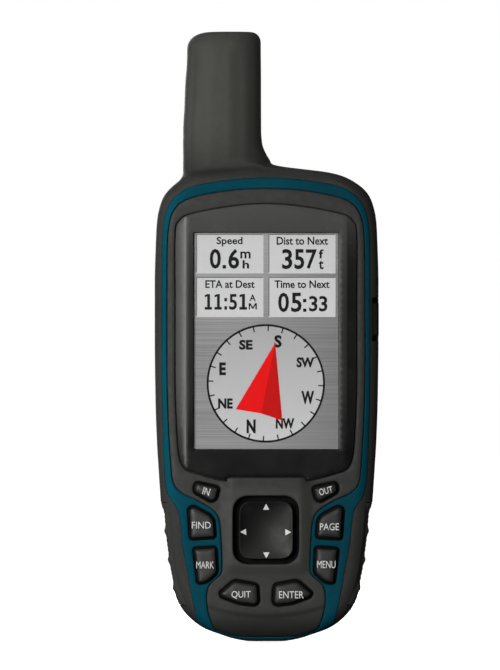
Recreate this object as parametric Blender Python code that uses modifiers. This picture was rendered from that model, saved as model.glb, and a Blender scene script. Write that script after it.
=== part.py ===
"""Handheld GPS receiver, about 160 x 60 x 36 mm.

Frame: +Z runs up the body towards the antenna mast, the screen faces -Y, +X is
to the right of someone reading the screen. The origin is the middle of the
flat foot at the bottom end. All sizes are millimetres and become metres when
they become a mesh. Outlines are lists of (x, z) points.
"""
from contextlib import contextmanager
from math import sin, cos, pi, radians, hypot

import bpy
import bmesh
from mathutils import Matrix, Vector

MM = 0.001
GAP = 0.30                 # running gap between neighbours
OVER = 1.0                 # how far cutters run out past a face
SIDES = (-1, 1)            # left, right

# depth planes, front (-) to back (+)
Y_WINDOW = -15.0           # face of the display window
Y_PLATE = -14.6            # face of the front plate
Y_RIM = -13.9              # front rim of the outer housing
Y_WINDOW_SEAT = -13.5
Y_PLATE_STEP = -13.2       # flange of the front plate under the trim
Y_PLATE_BACK = -12.3
Y_KEY_FLANGE = -12.0
Y_LEDGE = -11.4            # ledge of the housing under the front plate
Y_LCD = -11.1
Y_LCD_BACK = -9.5
Y_PCB = -7.0
Y_PCB_BACK = -5.8
Y_PARTS = Y_PCB_BACK + GAP     # front of the parts behind the main board
Y_PARTITION = -3.3         # front of the wall between electronics and cells
Y_BAY = -2.1               # floor of the battery bay
Y_SCREW = -1.6             # underside of the screw heads
Y_BOARD = 1.0              # connector board
Y_BOARD_BACK = 2.2
Y_DOOR_SEAT = 12.2
Y_DOOR_IN = 13.4
Y_BACK = 13.6              # back of the upper body
Y_DOOR_OUT = 16.6
Y_RING = 19.7              # pivot of the D-ring, before its drop
Y_SPINE = 21.0

# antenna mast
MAST_X, MAST_Y = -11.15, 1.2
MAST_R = 9.6
MAST_TOP = 160.0
MAST_CROWN = 4.6           # radius of the rounded top edge

# AA cells and their bay
CELL_R, CELL_LEN = 7.2, 50.5
CELL_X, CELL_Y = 7.6, 5.5
CELL_SEAT = 4.3            # negative end of a cell to the end of the bay
BAY_LO, BAY_HI, BAY_HALF = 21.4, 77.4, 15.7

# centres of features
LATCH_Z = 13.6
ROCKER_Z = 29.2
LCD_Z = 78.7
POWER_Y, POWER_Z = -5.6, 84.4
POWER_HALF_Y, POWER_HALF_Z = 2.5, 4.5
USB_Z = 85.6
USB_CAP_HALF = 8.2
MCX_X, MCX_Z = 9.0, 114.2
MCX_CAP_X, MCX_CAP_HALF = 8.5, 5.5
SPINE_Z = 100.6
UPPER_BOSSES = [(side * 23.6, 100.0) for side in SIDES]
LOWER_BOSSES = [(side * 14.6, 8.2) for side in SIDES]
BOSSES = UPPER_BOSSES + LOWER_BOSSES

# ---------------------------------------------------------------- outlines
# Right halves of symmetric outlines, (x, z), starting and ending on x = 0.
BODY_HALF = [(0, 0), (6, 0), (12.5, 1.5), (17.5, 4.2), (21.6, 8.0), (24.2, 12.6),
             (25.5, 18.5), (26.5, 27), (27.6, 37), (28.7, 50), (29.4, 66),
             (29.4, 80), (29.4, 94), (28.8, 109), (27.1, 115.8), (23.2, 120.4),
             (15, 123.4), (0, 124.9)]
TRIM_OUT_HALF = [(0, 121.5), (9, 121.0), (17.6, 119.7), (21.6, 118.2), (24.6, 115.6),
                 (26.2, 112.6), (27.0, 108), (27.3, 98), (27.3, 70), (27.0, 56),
                 (26.5, 43), (25.4, 38), (23.3, 34.8), (22.5, 31), (21.9, 25),
                 (20.6, 18.5), (19.7, 13), (18.6, 8), (17.2, 5.3), (14, 4.1),
                 (8, 3.0), (0, 2.6)]
TRIM_IN_HALF = [(0, 118.7), (8, 118.4), (16.5, 117.1), (21.3, 115.6), (23.9, 113.4),
                (25.3, 110), (25.9, 104), (26.0, 90), (26.0, 70), (25.6, 56),
                (25.0, 46.5), (24.4, 41.6), (22.2, 38.9), (18.6, 37.2), (14.6, 34.9),
                (12.6, 32.6), (11.9, 28), (11.6, 20), (12.0, 17.6), (14.8, 14.9),
                (15.6, 12), (15.3, 8), (14.9, 4.9), (12.5, 4.1), (7, 3.3), (0, 3.0)]
WINDOW_HALF = [(0, 114.7), (10, 113.9), (19.8, 112.0), (22.7, 110.2), (23.8, 106.5),
               (23.8, 88), (23.8, 68), (23.4, 56), (22.8, 48.6), (21.4, 45.4),
               (18.6, 44.1), (11.0, 42.1), (9.6, 43.0), (0, 43.0)]
DOOR_HALF = [(0, 5.2), (8, 5.6), (14.5, 8.2), (18.2, 13), (19.8, 22), (20.6, 40),
             (21, 60), (21, 74), (20.3, 78), (17, 79.5), (0, 79.5)]

# corners (x, z) of the right-hand keys; the left-hand ones mirror them
KEY_SHAPES = {
    "zoom": [(18.6, 42.05), (11.9, 40.55), (12.8, 37.1), (14.3, 36.3), (19.3, 39.15)],
    "upper": [(20.7, 35.0), (18.95, 35.95), (14.4, 33.5), (13.2, 31.9), (12.85, 26.9),
              (20.15, 26.4)],
    "lower": [(19.4, 24.75), (12.7, 25.15), (12.3, 17.8), (15.4, 15.1), (18.2, 14.75)],
    "foot": [(12.55, 12.8), (8.4, 16.43), (1.8, 15.2), (1.5, 10.16), (2.75, 9.11),
             (7.1, 9.6), (11.9, 11.4)],
}
KEYS = {"key_in": ("zoom", -1), "key_out": ("zoom", 1),
        "key_find": ("upper", -1), "key_page": ("upper", 1),
        "key_mark": ("lower", -1), "key_menu": ("lower", 1),
        "key_quit": ("foot", -1), "key_enter": ("foot", 1)}


def mirrored(half):
    """Full loop from a half outline that starts and ends on x = 0."""
    return half + [(-x, z) for x, z in reversed(half[1:-1])]


def smooth(points, steps=2):
    """Closed Catmull-Rom loop through the points, `steps` to a span."""
    count, out = len(points), []
    for i in range(count):
        a, b, c, d = (points[(i + k) % count] for k in (-1, 0, 1, 2))
        for step in range(steps):
            t = step / steps
            out.append(tuple(0.5 * (2 * b[k] + (c[k] - a[k]) * t
                                    + (2 * a[k] - 5 * b[k] + 4 * c[k] - d[k]) * t * t
                                    + (3 * b[k] - a[k] - 3 * c[k] + d[k]) * t ** 3)
                             for k in (0, 1)))
    return out


def signed_area(loop):
    return 0.5 * sum(a[0] * b[1] - b[0] * a[1] for a, b in zip(loop, loop[1:] + loop[:1]))


def inset(loop, dist, mitre_limit=0.35):
    """Loop moved inwards by dist (outwards when negative)."""
    sign = 1 if signed_area(loop) > 0 else -1

    def normal(start, end):
        dx, dz = end[0] - start[0], end[1] - start[1]
        length = hypot(dx, dz)
        return -dz / length * sign, dx / length * sign

    out = []
    for i, point in enumerate(loop):
        x1, z1 = normal(loop[i - 1], point)
        x2, z2 = normal(point, loop[(i + 1) % len(loop)])
        reach = dist / max(mitre_limit, 1 + x1 * x2 + z1 * z2)
        out.append((point[0] + (x1 + x2) * reach, point[1] + (z1 + z2) * reach))
    return out


def rounded(loop, radius, steps=3):
    """Polygon with every corner replaced by a short quadratic curve."""
    out = []
    for i, point in enumerate(loop):
        corner = Vector(point)
        back = Vector(loop[i - 1]) - corner
        ahead = Vector(loop[(i + 1) % len(loop)]) - corner
        length = min(radius, 0.42 * back.length, 0.42 * ahead.length)
        start = corner + back.normalized() * length
        end = corner + ahead.normalized() * length
        for step in range(steps + 1):
            t = step / steps
            out.append(tuple(start * (1 - t) ** 2 + corner * 2 * t * (1 - t) + end * t * t))
    return out


def rect(x0, x1, z0, z1, radius=0.0, steps=3):
    loop = [(x0, z0), (x1, z0), (x1, z1), (x0, z1)]
    return rounded(loop, radius, steps) if radius else loop


def pad(x, z, half_x, half_z, radius=0.0, steps=3):
    """Rectangle about a centre."""
    return rect(x - half_x, x + half_x, z - half_z, z + half_z, radius, steps)


def circle(x, z, radius, count):
    return [(x + radius * cos(2 * pi * i / count), z + radius * sin(2 * pi * i / count))
            for i in range(count)]


def below(loop, z_top):
    """The part of a loop under z_top, closed by a straight edge."""
    low = [p for p in loop if p[1] < z_top - 0.5]
    return [(low[0][0], z_top)] + low + [(low[-1][0], z_top)]


def arch(loop, z_end):
    """The part of a loop above z_end, from one leg over the top to the other."""
    lowest = min(range(len(loop)), key=lambda i: loop[i][1])
    return [p for p in loop[lowest:] + loop[:lowest] if p[1] > z_end]


def middle(loop):
    """Mean of the points of a loop."""
    return tuple(sum(p[k] for p in loop) / len(loop) for k in (0, 1))


def key_loop(kind, side):
    """Rounded key opening, always counter-clockwise in (x, z)."""
    loop = rounded([(side * x, z) for x, z in KEY_SHAPES[kind]], radius=1.1, steps=2)
    return loop if signed_area(loop) > 0 else loop[::-1]


BODY = [(x, max(z, 0.0)) for x, z in smooth(mirrored(BODY_HALF))]   # keeps the foot flat
TRIM_OUT = mirrored(TRIM_OUT_HALF)
TRIM_IN = mirrored(TRIM_IN_HALF)
WINDOW = smooth(mirrored(WINDOW_HALF))
DOOR = smooth(mirrored(DOOR_HALF))
KEY_HOLES = {name: key_loop(*key) for name, key in KEYS.items()}

# --------------------------------------------------------------- materials
# rgb is sRGB, 0 to 255
GREY = dict(rgb=(62, 62, 58), rough=0.55)
DARK = dict(rgb=(38, 38, 38))
TEAL = dict(rgb=(8, 78, 94), rough=0.45)
KEY_GREY = dict(rgb=(52, 52, 52), rough=0.45)
RUBBER = dict(rgb=(34, 34, 34), rough=0.75)
SEAL_RED = dict(rgb=(120, 40, 30), rough=0.7)
STEEL = dict(rgb=(170, 172, 175), rough=0.3, metal=1.0)
TIN = dict(rgb=(190, 192, 190), rough=0.35, metal=1.0)
GOLD = dict(rgb=(205, 165, 80), rough=0.3, metal=1.0)
COPPER = dict(rgb=(190, 120, 70), rough=0.3, metal=1.0)
BOARD = dict(rgb=(20, 78, 48))
AMBER = dict(rgb=(190, 110, 30))
WINDOW_TINT = dict(rgb=(20, 22, 24), rough=0.08, alpha=0.35)
LCD_GREY = dict(rgb=(150, 152, 150), rough=0.3)
LIGHT_WHITE = dict(rgb=(225, 228, 230), rough=0.4)
DOME_WHITE = dict(rgb=(200, 200, 195), rough=0.4)
SWITCH_GREY = dict(rgb=(60, 60, 62), rough=0.4, metal=0.2)
BEEPER_BLACK = dict(rgb=(30, 30, 30))
CORE_CREAM = dict(rgb=(205, 200, 185))
CABLE_BLACK = dict(rgb=(25, 25, 25))
CELL_GREY = dict(rgb=(70, 72, 76), rough=0.35, metal=0.3)


def linear(level):
    """sRGB level, 0 to 255, as a linear value."""
    level /= 255.0
    return level / 12.92 if level <= 0.04045 else ((level + 0.055) / 1.055) ** 2.4


def material(name, rgb, rough=0.5, metal=0.0, alpha=1.0):
    mat = bpy.data.materials.new(name)
    mat.use_nodes = True
    inputs = mat.node_tree.nodes["Principled BSDF"].inputs
    inputs["Base Color"].default_value = (*[linear(level) for level in rgb], 1)
    inputs["Roughness"].default_value = rough
    inputs["Metallic"].default_value = metal
    inputs["Alpha"].default_value = alpha
    return mat


# ----------------------------------------------------------------- objects
for ob in list(bpy.data.objects):
    bpy.data.objects.remove(ob, do_unlink=True)
parts = bpy.data.collections.new("handheld_gps_unit")
cutters = bpy.data.collections.new("cutters")
for col in (parts, cutters):
    bpy.context.scene.collection.children.link(col)


def add(name, mesh, look, origin=(0, 0, 0)):
    """Part whose origin is at `origin` while its mesh stays in place."""
    mesh.transform(Matrix.Translation(-Vector(origin) * MM))
    mesh.name = name
    mesh.materials.append(material(name, **look))
    ob = bpy.data.objects.new(name, mesh)
    ob.location = Vector(origin) * MM
    parts.objects.link(ob)
    return ob


def add_helper(name, mesh):
    """Unrendered operand of a boolean."""
    mesh.name = name
    ob = bpy.data.objects.new(name, mesh)
    cutters.objects.link(ob)
    ob.hide_render = True
    ob.display_type = "WIRE"
    return ob


def bevel(ob, width, segments):
    mod = ob.modifiers.new("edge", "BEVEL")
    mod.width, mod.segments = width * MM, segments
    mod.limit_method, mod.angle_limit = "ANGLE", radians(40)


def boolean(ob, other, operation):
    mod = ob.modifiers.new("bool", "BOOLEAN")
    mod.operation, mod.object, mod.solver = operation, other, "EXACT"


def cut(ob, mesh, operation="DIFFERENCE"):
    tool = add_helper("cut_%s_%d" % (ob.name, len(ob.modifiers)), mesh)
    boolean(ob, tool, operation)


def join(ob, mesh):
    cut(ob, mesh, "UNION")


# ------------------------------------------------------------------ meshes
# Outline plane and extrusion to world: (x, z) along Y, (y, z) along X.
AXES = {"Y": Matrix(((1, 0, 0, 0), (0, 0, -1, 0), (0, 1, 0, 0), (0, 0, 0, 1))),
        "X": Matrix(((0, 0, 1, 0), (1, 0, 0, 0), (0, 1, 0, 0), (0, 0, 0, 1)))}


@contextmanager
def editing(mesh):
    bm = bmesh.new()
    bm.from_mesh(mesh)
    yield bm
    bm.to_mesh(mesh)
    bm.free()


def add_spline(data, points, closed):
    spline = data.splines.new("POLY")
    spline.points.add(len(points) - 1)
    for target, (x, y, z) in zip(spline.points, points):
        target.co = (x * MM, y * MM, z * MM, 1)
    spline.use_cyclic_u = closed


def curve_mesh(data):
    """Welded mesh of a curve."""
    ob = bpy.data.objects.new("scratch_curve", data)
    bpy.context.scene.collection.objects.link(ob)
    bpy.context.view_layer.update()
    evaluated = ob.evaluated_get(bpy.context.evaluated_depsgraph_get())
    mesh = bpy.data.meshes.new_from_object(evaluated)
    bpy.data.objects.remove(ob, do_unlink=True)
    with editing(mesh) as bm:
        bmesh.ops.remove_doubles(bm, verts=bm.verts, dist=1e-6)
    return mesh


def slab(loops, lo, hi, axis="Y"):
    """Flat outline (first loop) with holes (the others), from lo to hi along axis."""
    data = bpy.data.curves.new("outline", "CURVE")
    data.dimensions, data.fill_mode = "2D", "BOTH"
    data.extrude = (hi - lo) / 2 * MM
    for loop in loops:
        add_spline(data, [(u, v, 0) for u, v in loop], closed=True)
    mesh = curve_mesh(data)
    with editing(mesh) as bm:
        bmesh.ops.dissolve_limit(bm, angle_limit=0.002, verts=bm.verts, edges=bm.edges)
        bmesh.ops.recalc_face_normals(bm, faces=bm.faces)
    centre = (lo + hi) / 2 * MM
    shift = (0, centre, 0) if axis == "Y" else (centre, 0, 0)
    mesh.transform(Matrix.Translation(shift) @ AXES[axis])
    return mesh


def box(*spans):
    """Box from its (low, high) spans in x, y and z."""
    mesh = bpy.data.meshes.new("box")
    size = Matrix.Diagonal((*[(hi - lo) * MM for lo, hi in spans], 1))
    centre = Matrix.Translation(Vector([(lo + hi) / 2 for lo, hi in spans]) * MM)
    with editing(mesh) as bm:
        bmesh.ops.create_cube(bm, size=1.0, matrix=centre @ size)
    return mesh


def rod(radius, lo, hi, at, segments=16, axis="Y"):
    """Cylinder along an axis; `at` holds the other two coordinates."""
    mesh = bpy.data.meshes.new("rod")
    with editing(mesh) as bm:
        bmesh.ops.create_cone(bm, cap_ends=True, segments=segments, radius1=radius * MM,
                              radius2=radius * MM, depth=(hi - lo) * MM)
    centre = (lo + hi) / 2
    if axis == "Y":
        place, turn = (at[0], centre, at[1]), Matrix.Rotation(-pi / 2, 4, "X")
    else:
        place, turn = (centre, *at), Matrix.Rotation(pi / 2, 4, "Y")
    mesh.transform(Matrix.Translation(Vector(place) * MM) @ turn)
    return mesh


def turned(name, profile, at, steps, look=None):
    """Screw of an (r, z) profile listed top to bottom; a helper when it has no look."""
    mesh = bpy.data.meshes.new(name)
    mesh.from_pydata([(r * MM, 0, z * MM) for r, z in profile],
                     [(i, i + 1) for i in range(len(profile) - 1)], [])
    ob = add(name, mesh, look) if look else add_helper(name, mesh)
    ob.location = Vector(at) * MM
    mod = ob.modifiers.new("turn", "SCREW")
    mod.steps = mod.render_steps = steps
    mod.use_merge_vertices = True
    mod.merge_threshold = 1e-6
    mod.use_smooth_shade = True
    return ob


def wire(points, radius, resolution, closed=False):
    data = bpy.data.curves.new("wire", "CURVE")
    data.dimensions = "3D"
    data.bevel_depth, data.bevel_resolution = radius * MM, resolution
    data.use_fill_caps = True
    add_spline(data, points, closed)
    return curve_mesh(data)


# --------------------------------------------------------- outer housing
# Body block with rounded rims, mast turned about its own axis and joined on.
housing = add("outer_housing", slab([BODY], Y_RIM, Y_BACK), GREY)
bevel(housing, 3.4, 3)
crown = [(MAST_R - 0.3 - MAST_CROWN * (1 - cos(a)), MAST_TOP - MAST_CROWN * (1 - sin(a)))
         for a in [pi / 2 - k * pi / 8 for k in range(5)]]
flare = [(MAST_R, 146), (MAST_R + 0.2, 131), (MAST_R + 0.7, 127.5), (MAST_R + 1.9, 124.4),
         (MAST_R + 3.2, 122.4), (MAST_R + 3.2, 112)]
mast = turned("mast_form", [(0, MAST_TOP)] + crown + flare + [(0, 112)],
              (MAST_X, MAST_Y, 0), 24)
boolean(housing, mast, "UNION")
# front pocket that takes the plate and the trim
cut(housing, slab([inset(TRIM_OUT, -0.15)], Y_RIM - 3, Y_LEDGE))
# electronics cavity, then two deeper pockets behind the upper part of the screen
cut(housing, slab([inset(TRIM_OUT, 1.0)], Y_LEDGE - 0.5, Y_PARTITION))
cut(housing, slab([rect(-26.2, 26.2, 78.8, 111.0, 0.4, 1)], Y_PARTITION - 0.5, 11.2))
cut(housing, slab([rect(-20.0, 20.0, 108.0, 117.5, 2.0)], Y_PARTITION - 0.5, 9.4))
# mast bore, open to the electronics cavity
bore_profile = [(0, 157.4), (5.6, 157.4), (7.4, 155.2), (7.6, 150), (7.6, 113), (0, 113)]
boolean(housing, turned("mast_bore", bore_profile, (MAST_X, MAST_Y, 0), 16), "DIFFERENCE")
# columns for the upper screws
for boss in UPPER_BOSSES:
    join(housing, rod(3.6, Y_PARTITION, 12.0, boss, 12))
# door seat, battery bay and latch pocket, all from the back
cut(housing, slab([inset(DOOR, -0.4)], Y_DOOR_SEAT, Y_BACK + 3))
cut(housing, slab([rect(-BAY_HALF, BAY_HALF, BAY_LO, BAY_HI, 0.8, 1)], Y_BAY, Y_BACK + OVER))
cut(housing, rod(7.4, 4.0, Y_BACK + OVER, (0, LATCH_Z - 0.6), 20))
# screw wells and shaft holes
for boss in BOSSES:
    cut(housing, rod(2.3, Y_SCREW - GAP, Y_BACK + OVER, boss, 12))
    cut(housing, rod(1.35, Y_PARTITION - 3, 0, boss, 10))
# openings in the back for the two sockets, and the shallow seats of their caps
cut(housing, slab([pad(0, USB_Z, 4.9, 2.8, 1.0, 2)], 9, Y_BACK + OVER))
cut(housing, slab([pad(0, USB_Z, 8.6, 4.4, 1.6, 2)], Y_BACK - 1.2, Y_BACK + OVER))
cut(housing, rod(3.1, 7.0, Y_BACK + OVER, (MCX_X, MCX_Z)))
cut(housing, slab([pad(MCX_CAP_X, MCX_Z, 5.9, 3.8, 1.6, 2)], Y_BACK - 1.2, Y_BACK + OVER))
# power key opening in the right wall
cut(housing, slab([pad(POWER_Y, POWER_Z, POWER_HALF_Y + GAP, POWER_HALF_Z + GAP, 1.2, 2)],
                  24, 31, "X"))


# ------------------------------------------------------- rubber side grips
def wall_line(side, depth, gap=0.0):
    """Lower side wall of the body, bottom to top, moved in by depth, ends drawn in by gap."""
    wall = sorted([p for p in BODY if side * p[0] > 0 and 8.6 < p[1] < 37.5],
                  key=lambda p: p[1])
    line = [(x - side * depth, z) for x, z in wall]
    line[0] = (line[0][0], line[0][1] + gap)
    line[-1] = (line[-1][0], line[-1][1] - gap)
    return line


for label, side in zip(("left", "right"), SIDES):
    seat = wall_line(side, 1.35) + wall_line(side, -3.0)[::-1]
    cut(housing, slab([seat], -8.3, 8.3))
    grip = wall_line(side, 1.05, GAP) + wall_line(side, -0.25, GAP)[::-1]
    add("side_grip_" + label, slab([grip], -8.0, 8.0), RUBBER)

# ------------------------------------------------------------- front plate
plate = add("front_plate", slab([inset(TRIM_OUT, 0.15)], Y_PLATE_STEP, Y_PLATE_BACK), GREY)
join(plate, slab([inset(TRIM_IN, 0.15)], Y_PLATE, Y_PLATE_BACK - 0.2))
cut(plate, slab([inset(WINDOW, -GAP)], Y_PLATE - OVER, Y_WINDOW_SEAT))
# through openings: display, rocker, keys
openings = [rect(-21.4, 21.4, 46.0, 110.0, 2.5, 2), pad(0, ROCKER_Z, 8.7, 9.0, 3.6)]
for opening in openings + list(KEY_HOLES.values()):
    cut(plate, slab([opening], Y_PLATE - OVER, Y_PLATE_BACK + OVER))
# posts for the case screws
for boss in BOSSES:
    join(plate, rod(2.2, Y_PLATE_BACK - 0.4, Y_PCB - 0.4, boss, 12))
    cut(plate, rod(1.3, Y_PLATE_BACK - 0.3, Y_PCB, boss, 10))

# -------------------------------------------------------------- teal trim
TRIM_END_Z = 5.2
trim_loop = (arch(inset(TRIM_OUT, 0.15), TRIM_END_Z)
             + arch(inset(TRIM_IN, -0.15), TRIM_END_Z)[::-1])
trim = add("accent_trim", slab([trim_loop], Y_PLATE - 0.1, Y_PLATE_STEP - GAP), TEAL)
for name in ("key_find", "key_page", "key_mark", "key_menu"):
    cut(trim, slab([KEY_HOLES[name]], Y_PLATE - OVER, Y_PLATE_BACK))

# --------------------------------------------------- window and display stack
add("display_window", slab([WINDOW], Y_WINDOW, Y_WINDOW_SEAT - GAP), WINDOW_TINT)
add("display_gasket", slab([rect(-21.0, 21.0, 46.9, 110.4, 1.5, 2),
                            rect(-19.4, 19.4, 48.7, 108.6, 1.0, 2)],
                           Y_PLATE_BACK + GAP, Y_LCD - GAP), RUBBER)
add("lcd_panel", slab([pad(0, LCD_Z, 20.2, 30.5)], Y_LCD, Y_LCD_BACK), LCD_GREY)
add("backlight", slab([pad(0, LCD_Z, 20.0, 30.3)], Y_LCD_BACK + GAP, -8.0), LIGHT_WHITE)
tray = add("lcd_frame", slab([pad(0, LCD_Z, 21.0, 31.5, 0.8, 1)], Y_LCD, Y_PCB - GAP), STEEL)
cut(tray, box((-20.5, 20.5), (-12, -7.7), (LCD_Z - 31, LCD_Z + 31)))
cut(tray, box((-6.0, 6.0), (-10.2, -7.9), (46.0, 49.0)))     # slot for the flex
add("lcd_flex", box((-5.4, 5.4), (-9.0, -8.7), (44.6, 47.9)), AMBER)

# ------------------------------------------------------------------ keypad
for name, hole in KEY_HOLES.items():
    x, z = middle(hole)
    cap = add(name, slab([inset(hole, 0.42)], -15.2, Y_KEY_FLANGE + 0.1), KEY_GREY,
              (x, Y_KEY_FLANGE, z))
    bevel(cap, 0.35, 1)
    join(cap, slab([inset(hole, -0.4)], Y_KEY_FLANGE, -11.4))

# rubber mat with a pip behind each key and each arm of the rocker
mat = add("keypad_mat", slab([below(inset(TRIM_OUT, 1.5), 42.8)], -10.2, -9.3), RUBBER)
for boss in LOWER_BOSSES:
    cut(mat, rod(2.7, -11, -8, boss, 12))
rocker_arms = [(x, ROCKER_Z + z) for x, z in ((0, 6), (0, -6), (6, 0), (-6, 0))]
for pip in [middle(hole) for hole in KEY_HOLES.values()] + rocker_arms:
    join(mat, rod(1.3, -9.5, -8.3, pip, 6))
domes = add("dome_sheet", slab([below(inset(TRIM_OUT, 1.9), 42.4)], -7.9, -7.7), DOME_WHITE)
for boss in LOWER_BOSSES:
    cut(domes, rod(2.7, -9, -7, boss, 12))

# ------------------------------------------------------------------ rocker
carrier = add("rocker_carrier", slab([pad(0, ROCKER_Z, 9.2, 9.5, 2.6, 2)], -11.5, -10.9),
              DARK, (0, -11.2, ROCKER_Z))
join(carrier, slab([pad(0, ROCKER_Z, 3.0, 3.0, 0.8, 1)], -12.9, -11.3))
rocker = add("rocker_cap", slab([pad(0, ROCKER_Z, 7.4, 7.45, 2.6)], -15.3, -13.2),
             KEY_GREY, (0, -12.9, ROCKER_Z))
bevel(rocker, 0.5, 1)
# a large ball hollows the face down to DISH_Y
DISH_R, DISH_Y = 24.0, -14.45
ball = bpy.data.meshes.new("ball")
ball_place = Matrix.Translation(Vector((0, DISH_Y - DISH_R, ROCKER_Z)) * MM)
with editing(ball) as bm:
    bmesh.ops.create_uvsphere(bm, u_segments=32, v_segments=32, radius=DISH_R * MM,
                              matrix=ball_place @ Matrix.Rotation(pi / 2, 4, "X"))
cut(rocker, ball)

# --------------------------------------------------------------- power key
power = add("power_button", slab([pad(POWER_Y, POWER_Z, POWER_HALF_Y, POWER_HALF_Z, 1.0, 2)],
                                 26.2, 29.6, "X"), DARK, (27, POWER_Y, POWER_Z))
bevel(power, 0.3, 1)
# flange inside the wall, and the neck that carries it
join(power, slab([pad(POWER_Y - 0.2, POWER_Z, 2.9, 5.2, 1.0, 2)], 25.3, 25.9, "X"))
join(power, box((25.8, 26.4), (POWER_Y - 1.4, POWER_Y + 1.4), (POWER_Z - 3, POWER_Z + 3)))
add("power_switch", box((21.4, 24.5), (Y_PARTS, -3.0), (POWER_Z - 2.4, POWER_Z + 2.4)),
    SWITCH_GREY)

# ------------------------------------------------------ seal and main board
add("housing_gasket", slab([inset(TRIM_OUT, 0.3), inset(TRIM_OUT, 0.8)],
                           Y_PLATE_BACK + GAP, Y_LEDGE - GAP), RUBBER)
pcb = add("main_pcb", slab([inset(TRIM_OUT, 1.4)], Y_PCB, Y_PCB_BACK), BOARD)
cut(pcb, box((23.0, 32), (-9, -4), (POWER_Z - 7.4, POWER_Z + 7.4)))
for boss in BOSSES:
    cut(pcb, rod(1.5, -9, -4, boss, 10))
for name, x_span, z_span in (("rf_shield", (-20, 2), (96, 112)),
                             ("cpu_shield", (-14, 14), (50, 72))):
    shield = add(name, box(x_span, (Y_PARTS, Y_PARTITION - GAP), z_span), TIN)
    bevel(shield, 0.4, 1)
add("piezo_beeper", rod(4.6, Y_PARTS, -3.7, (10, 40), 20), BEEPER_BLACK)
add("backup_cell", rod(3.4, Y_PARTS, -3.8, (-10, 36), 20), STEEL)
add("microsd_socket", box((-7, 7), (Y_PARTS, -3.7), (15, 30)), TIN)

# --------------------------------------------------------- connector board
board = add("connector_board", slab([rect(-19, 19, 80.4, 116.6, 1.0, 1)],
                                    Y_BOARD, Y_BOARD_BACK), BOARD)
cut(board, rod(9.0, -1, 4, (MAST_X, 121.0)))
flex_section = [(-5.5, 79.6), (-5.5, 79.9), (-0.6, 80.9), (-0.6, 84.4),      # (y, z)
                (0.7, 84.4), (0.7, 84.1), (-0.3, 84.1), (-0.3, 80.65)]
add("board_flex", slab([flex_section], 5, 13, "X"), AMBER)
usb = add("usb_port", box((-3.85, 3.85), (Y_BOARD_BACK + GAP, 11.0),
                          (USB_Z - 1.95, USB_Z + 1.95)), TIN)
bevel(usb, 0.5, 1)
cut(usb, box((-3.3, 3.3), (5.0, 12.0), (USB_Z - 1.4, USB_Z + 1.4)))
mcx = add("mcx_connector", rod(1.9, Y_BOARD_BACK + GAP, 10.6, (MCX_X, MCX_Z)), GOLD)
cut(mcx, rod(1.3, 5.5, 12.0, (MCX_X, MCX_Z), 12))

# ----------------------------------------------------------------- antenna
core_profile = [(0, 154.0), (3.9, 154.0), (4.2, 153.6), (4.2, 118.4), (3.9, 118.0), (0, 118.0)]
turned("antenna_core", core_profile, (MAST_X, MAST_Y, 0), 16, CORE_CREAM)
HELIX_R, HELIX_BOTTOM, HELIX_STEPS = 5.2, 119.0, 12


def helix_loop(phase, top):
    """One two-armed loop of the four-arm helix: up one arm, over, down the other."""
    def arm(start):
        return [(MAST_X + HELIX_R * cos(start + pi * k / HELIX_STEPS),
                 MAST_Y + HELIX_R * sin(start + pi * k / HELIX_STEPS),
                 HELIX_BOTTOM + (top - HELIX_BOTTOM) * k / HELIX_STEPS)
                for k in range(HELIX_STEPS + 1)]
    return arm(phase) + [(MAST_X, MAST_Y, top + 0.1)] + arm(phase + pi)[::-1]


add("antenna_element_a", wire(helix_loop(0.0, 155.2), 0.4, 1), COPPER)
add("antenna_element_b", wire(helix_loop(pi / 2, 156.5), 0.4, 1), COPPER)
cable_path = [(MAST_X, MAST_Y, 117.6), (MAST_X, MAST_Y - 0.4, 116.0), (MAST_X, -1.4, 114.4),
              (MAST_X, -2.4, 112.0), (MAST_X, -2.5, 106.0)]
add("antenna_cable", wire(cable_path, 0.65, 2), CABLE_BLACK)

# ---------------------------------------------------- cells and contacts
# The left cell stands nub up, the right one is turned nub down.
cell_profile = [(0, CELL_LEN), (2.6, CELL_LEN), (2.75, CELL_LEN - 0.15), (2.75, CELL_LEN - 1.1),
                (6.6, CELL_LEN - 1.1), (CELL_R, CELL_LEN - 1.6), (CELL_R, 0.5),
                (CELL_R - 0.5, 0), (0, 0)]
turned("battery_left", cell_profile, (-CELL_X, CELL_Y, BAY_LO + CELL_SEAT), 16, CELL_GREY)
right_cell = turned("battery_right", cell_profile, (CELL_X, CELL_Y, BAY_HI - CELL_SEAT), 16,
                    CELL_GREY)
right_cell.rotation_euler = (pi, 0, 0)


def spring(x, z_wide, z_narrow, wide=4.6, narrow=2.2, turns=2.5, per_turn=9):
    """Conical coil from its wide end at the contact plate to the narrow end at the cell."""
    steps = int(turns * per_turn)
    points = []
    for k in range(steps + 1):
        radius = wide + (narrow - wide) * k / steps
        angle = 2 * pi * k / per_turn
        points.append((x + radius * cos(angle), CELL_Y + radius * sin(angle),
                       z_wide + (z_narrow - z_wide) * k / steps))
    return wire(points, 0.3, 1)


add("contact_spring_left", spring(-CELL_X, BAY_LO + 1.5, BAY_LO + 3.6), STEEL)
add("contact_spring_right", spring(CELL_X, BAY_HI - 1.5, BAY_HI - 3.6), STEEL)
for label, x_span, z_span in (
        ("bottom", (-14.6, 14.6), (BAY_LO + 0.35, BAY_LO + 0.85)),
        ("top_left", (-14.6, -0.8), (BAY_HI - 0.85, BAY_HI - 0.35)),
        ("top_right", (0.8, 14.6), (BAY_HI - 0.85, BAY_HI - 0.35))):
    add("contact_plate_" + label, box(x_span, (CELL_Y - 6.1, CELL_Y + 6.1), z_span), TIN)

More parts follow.
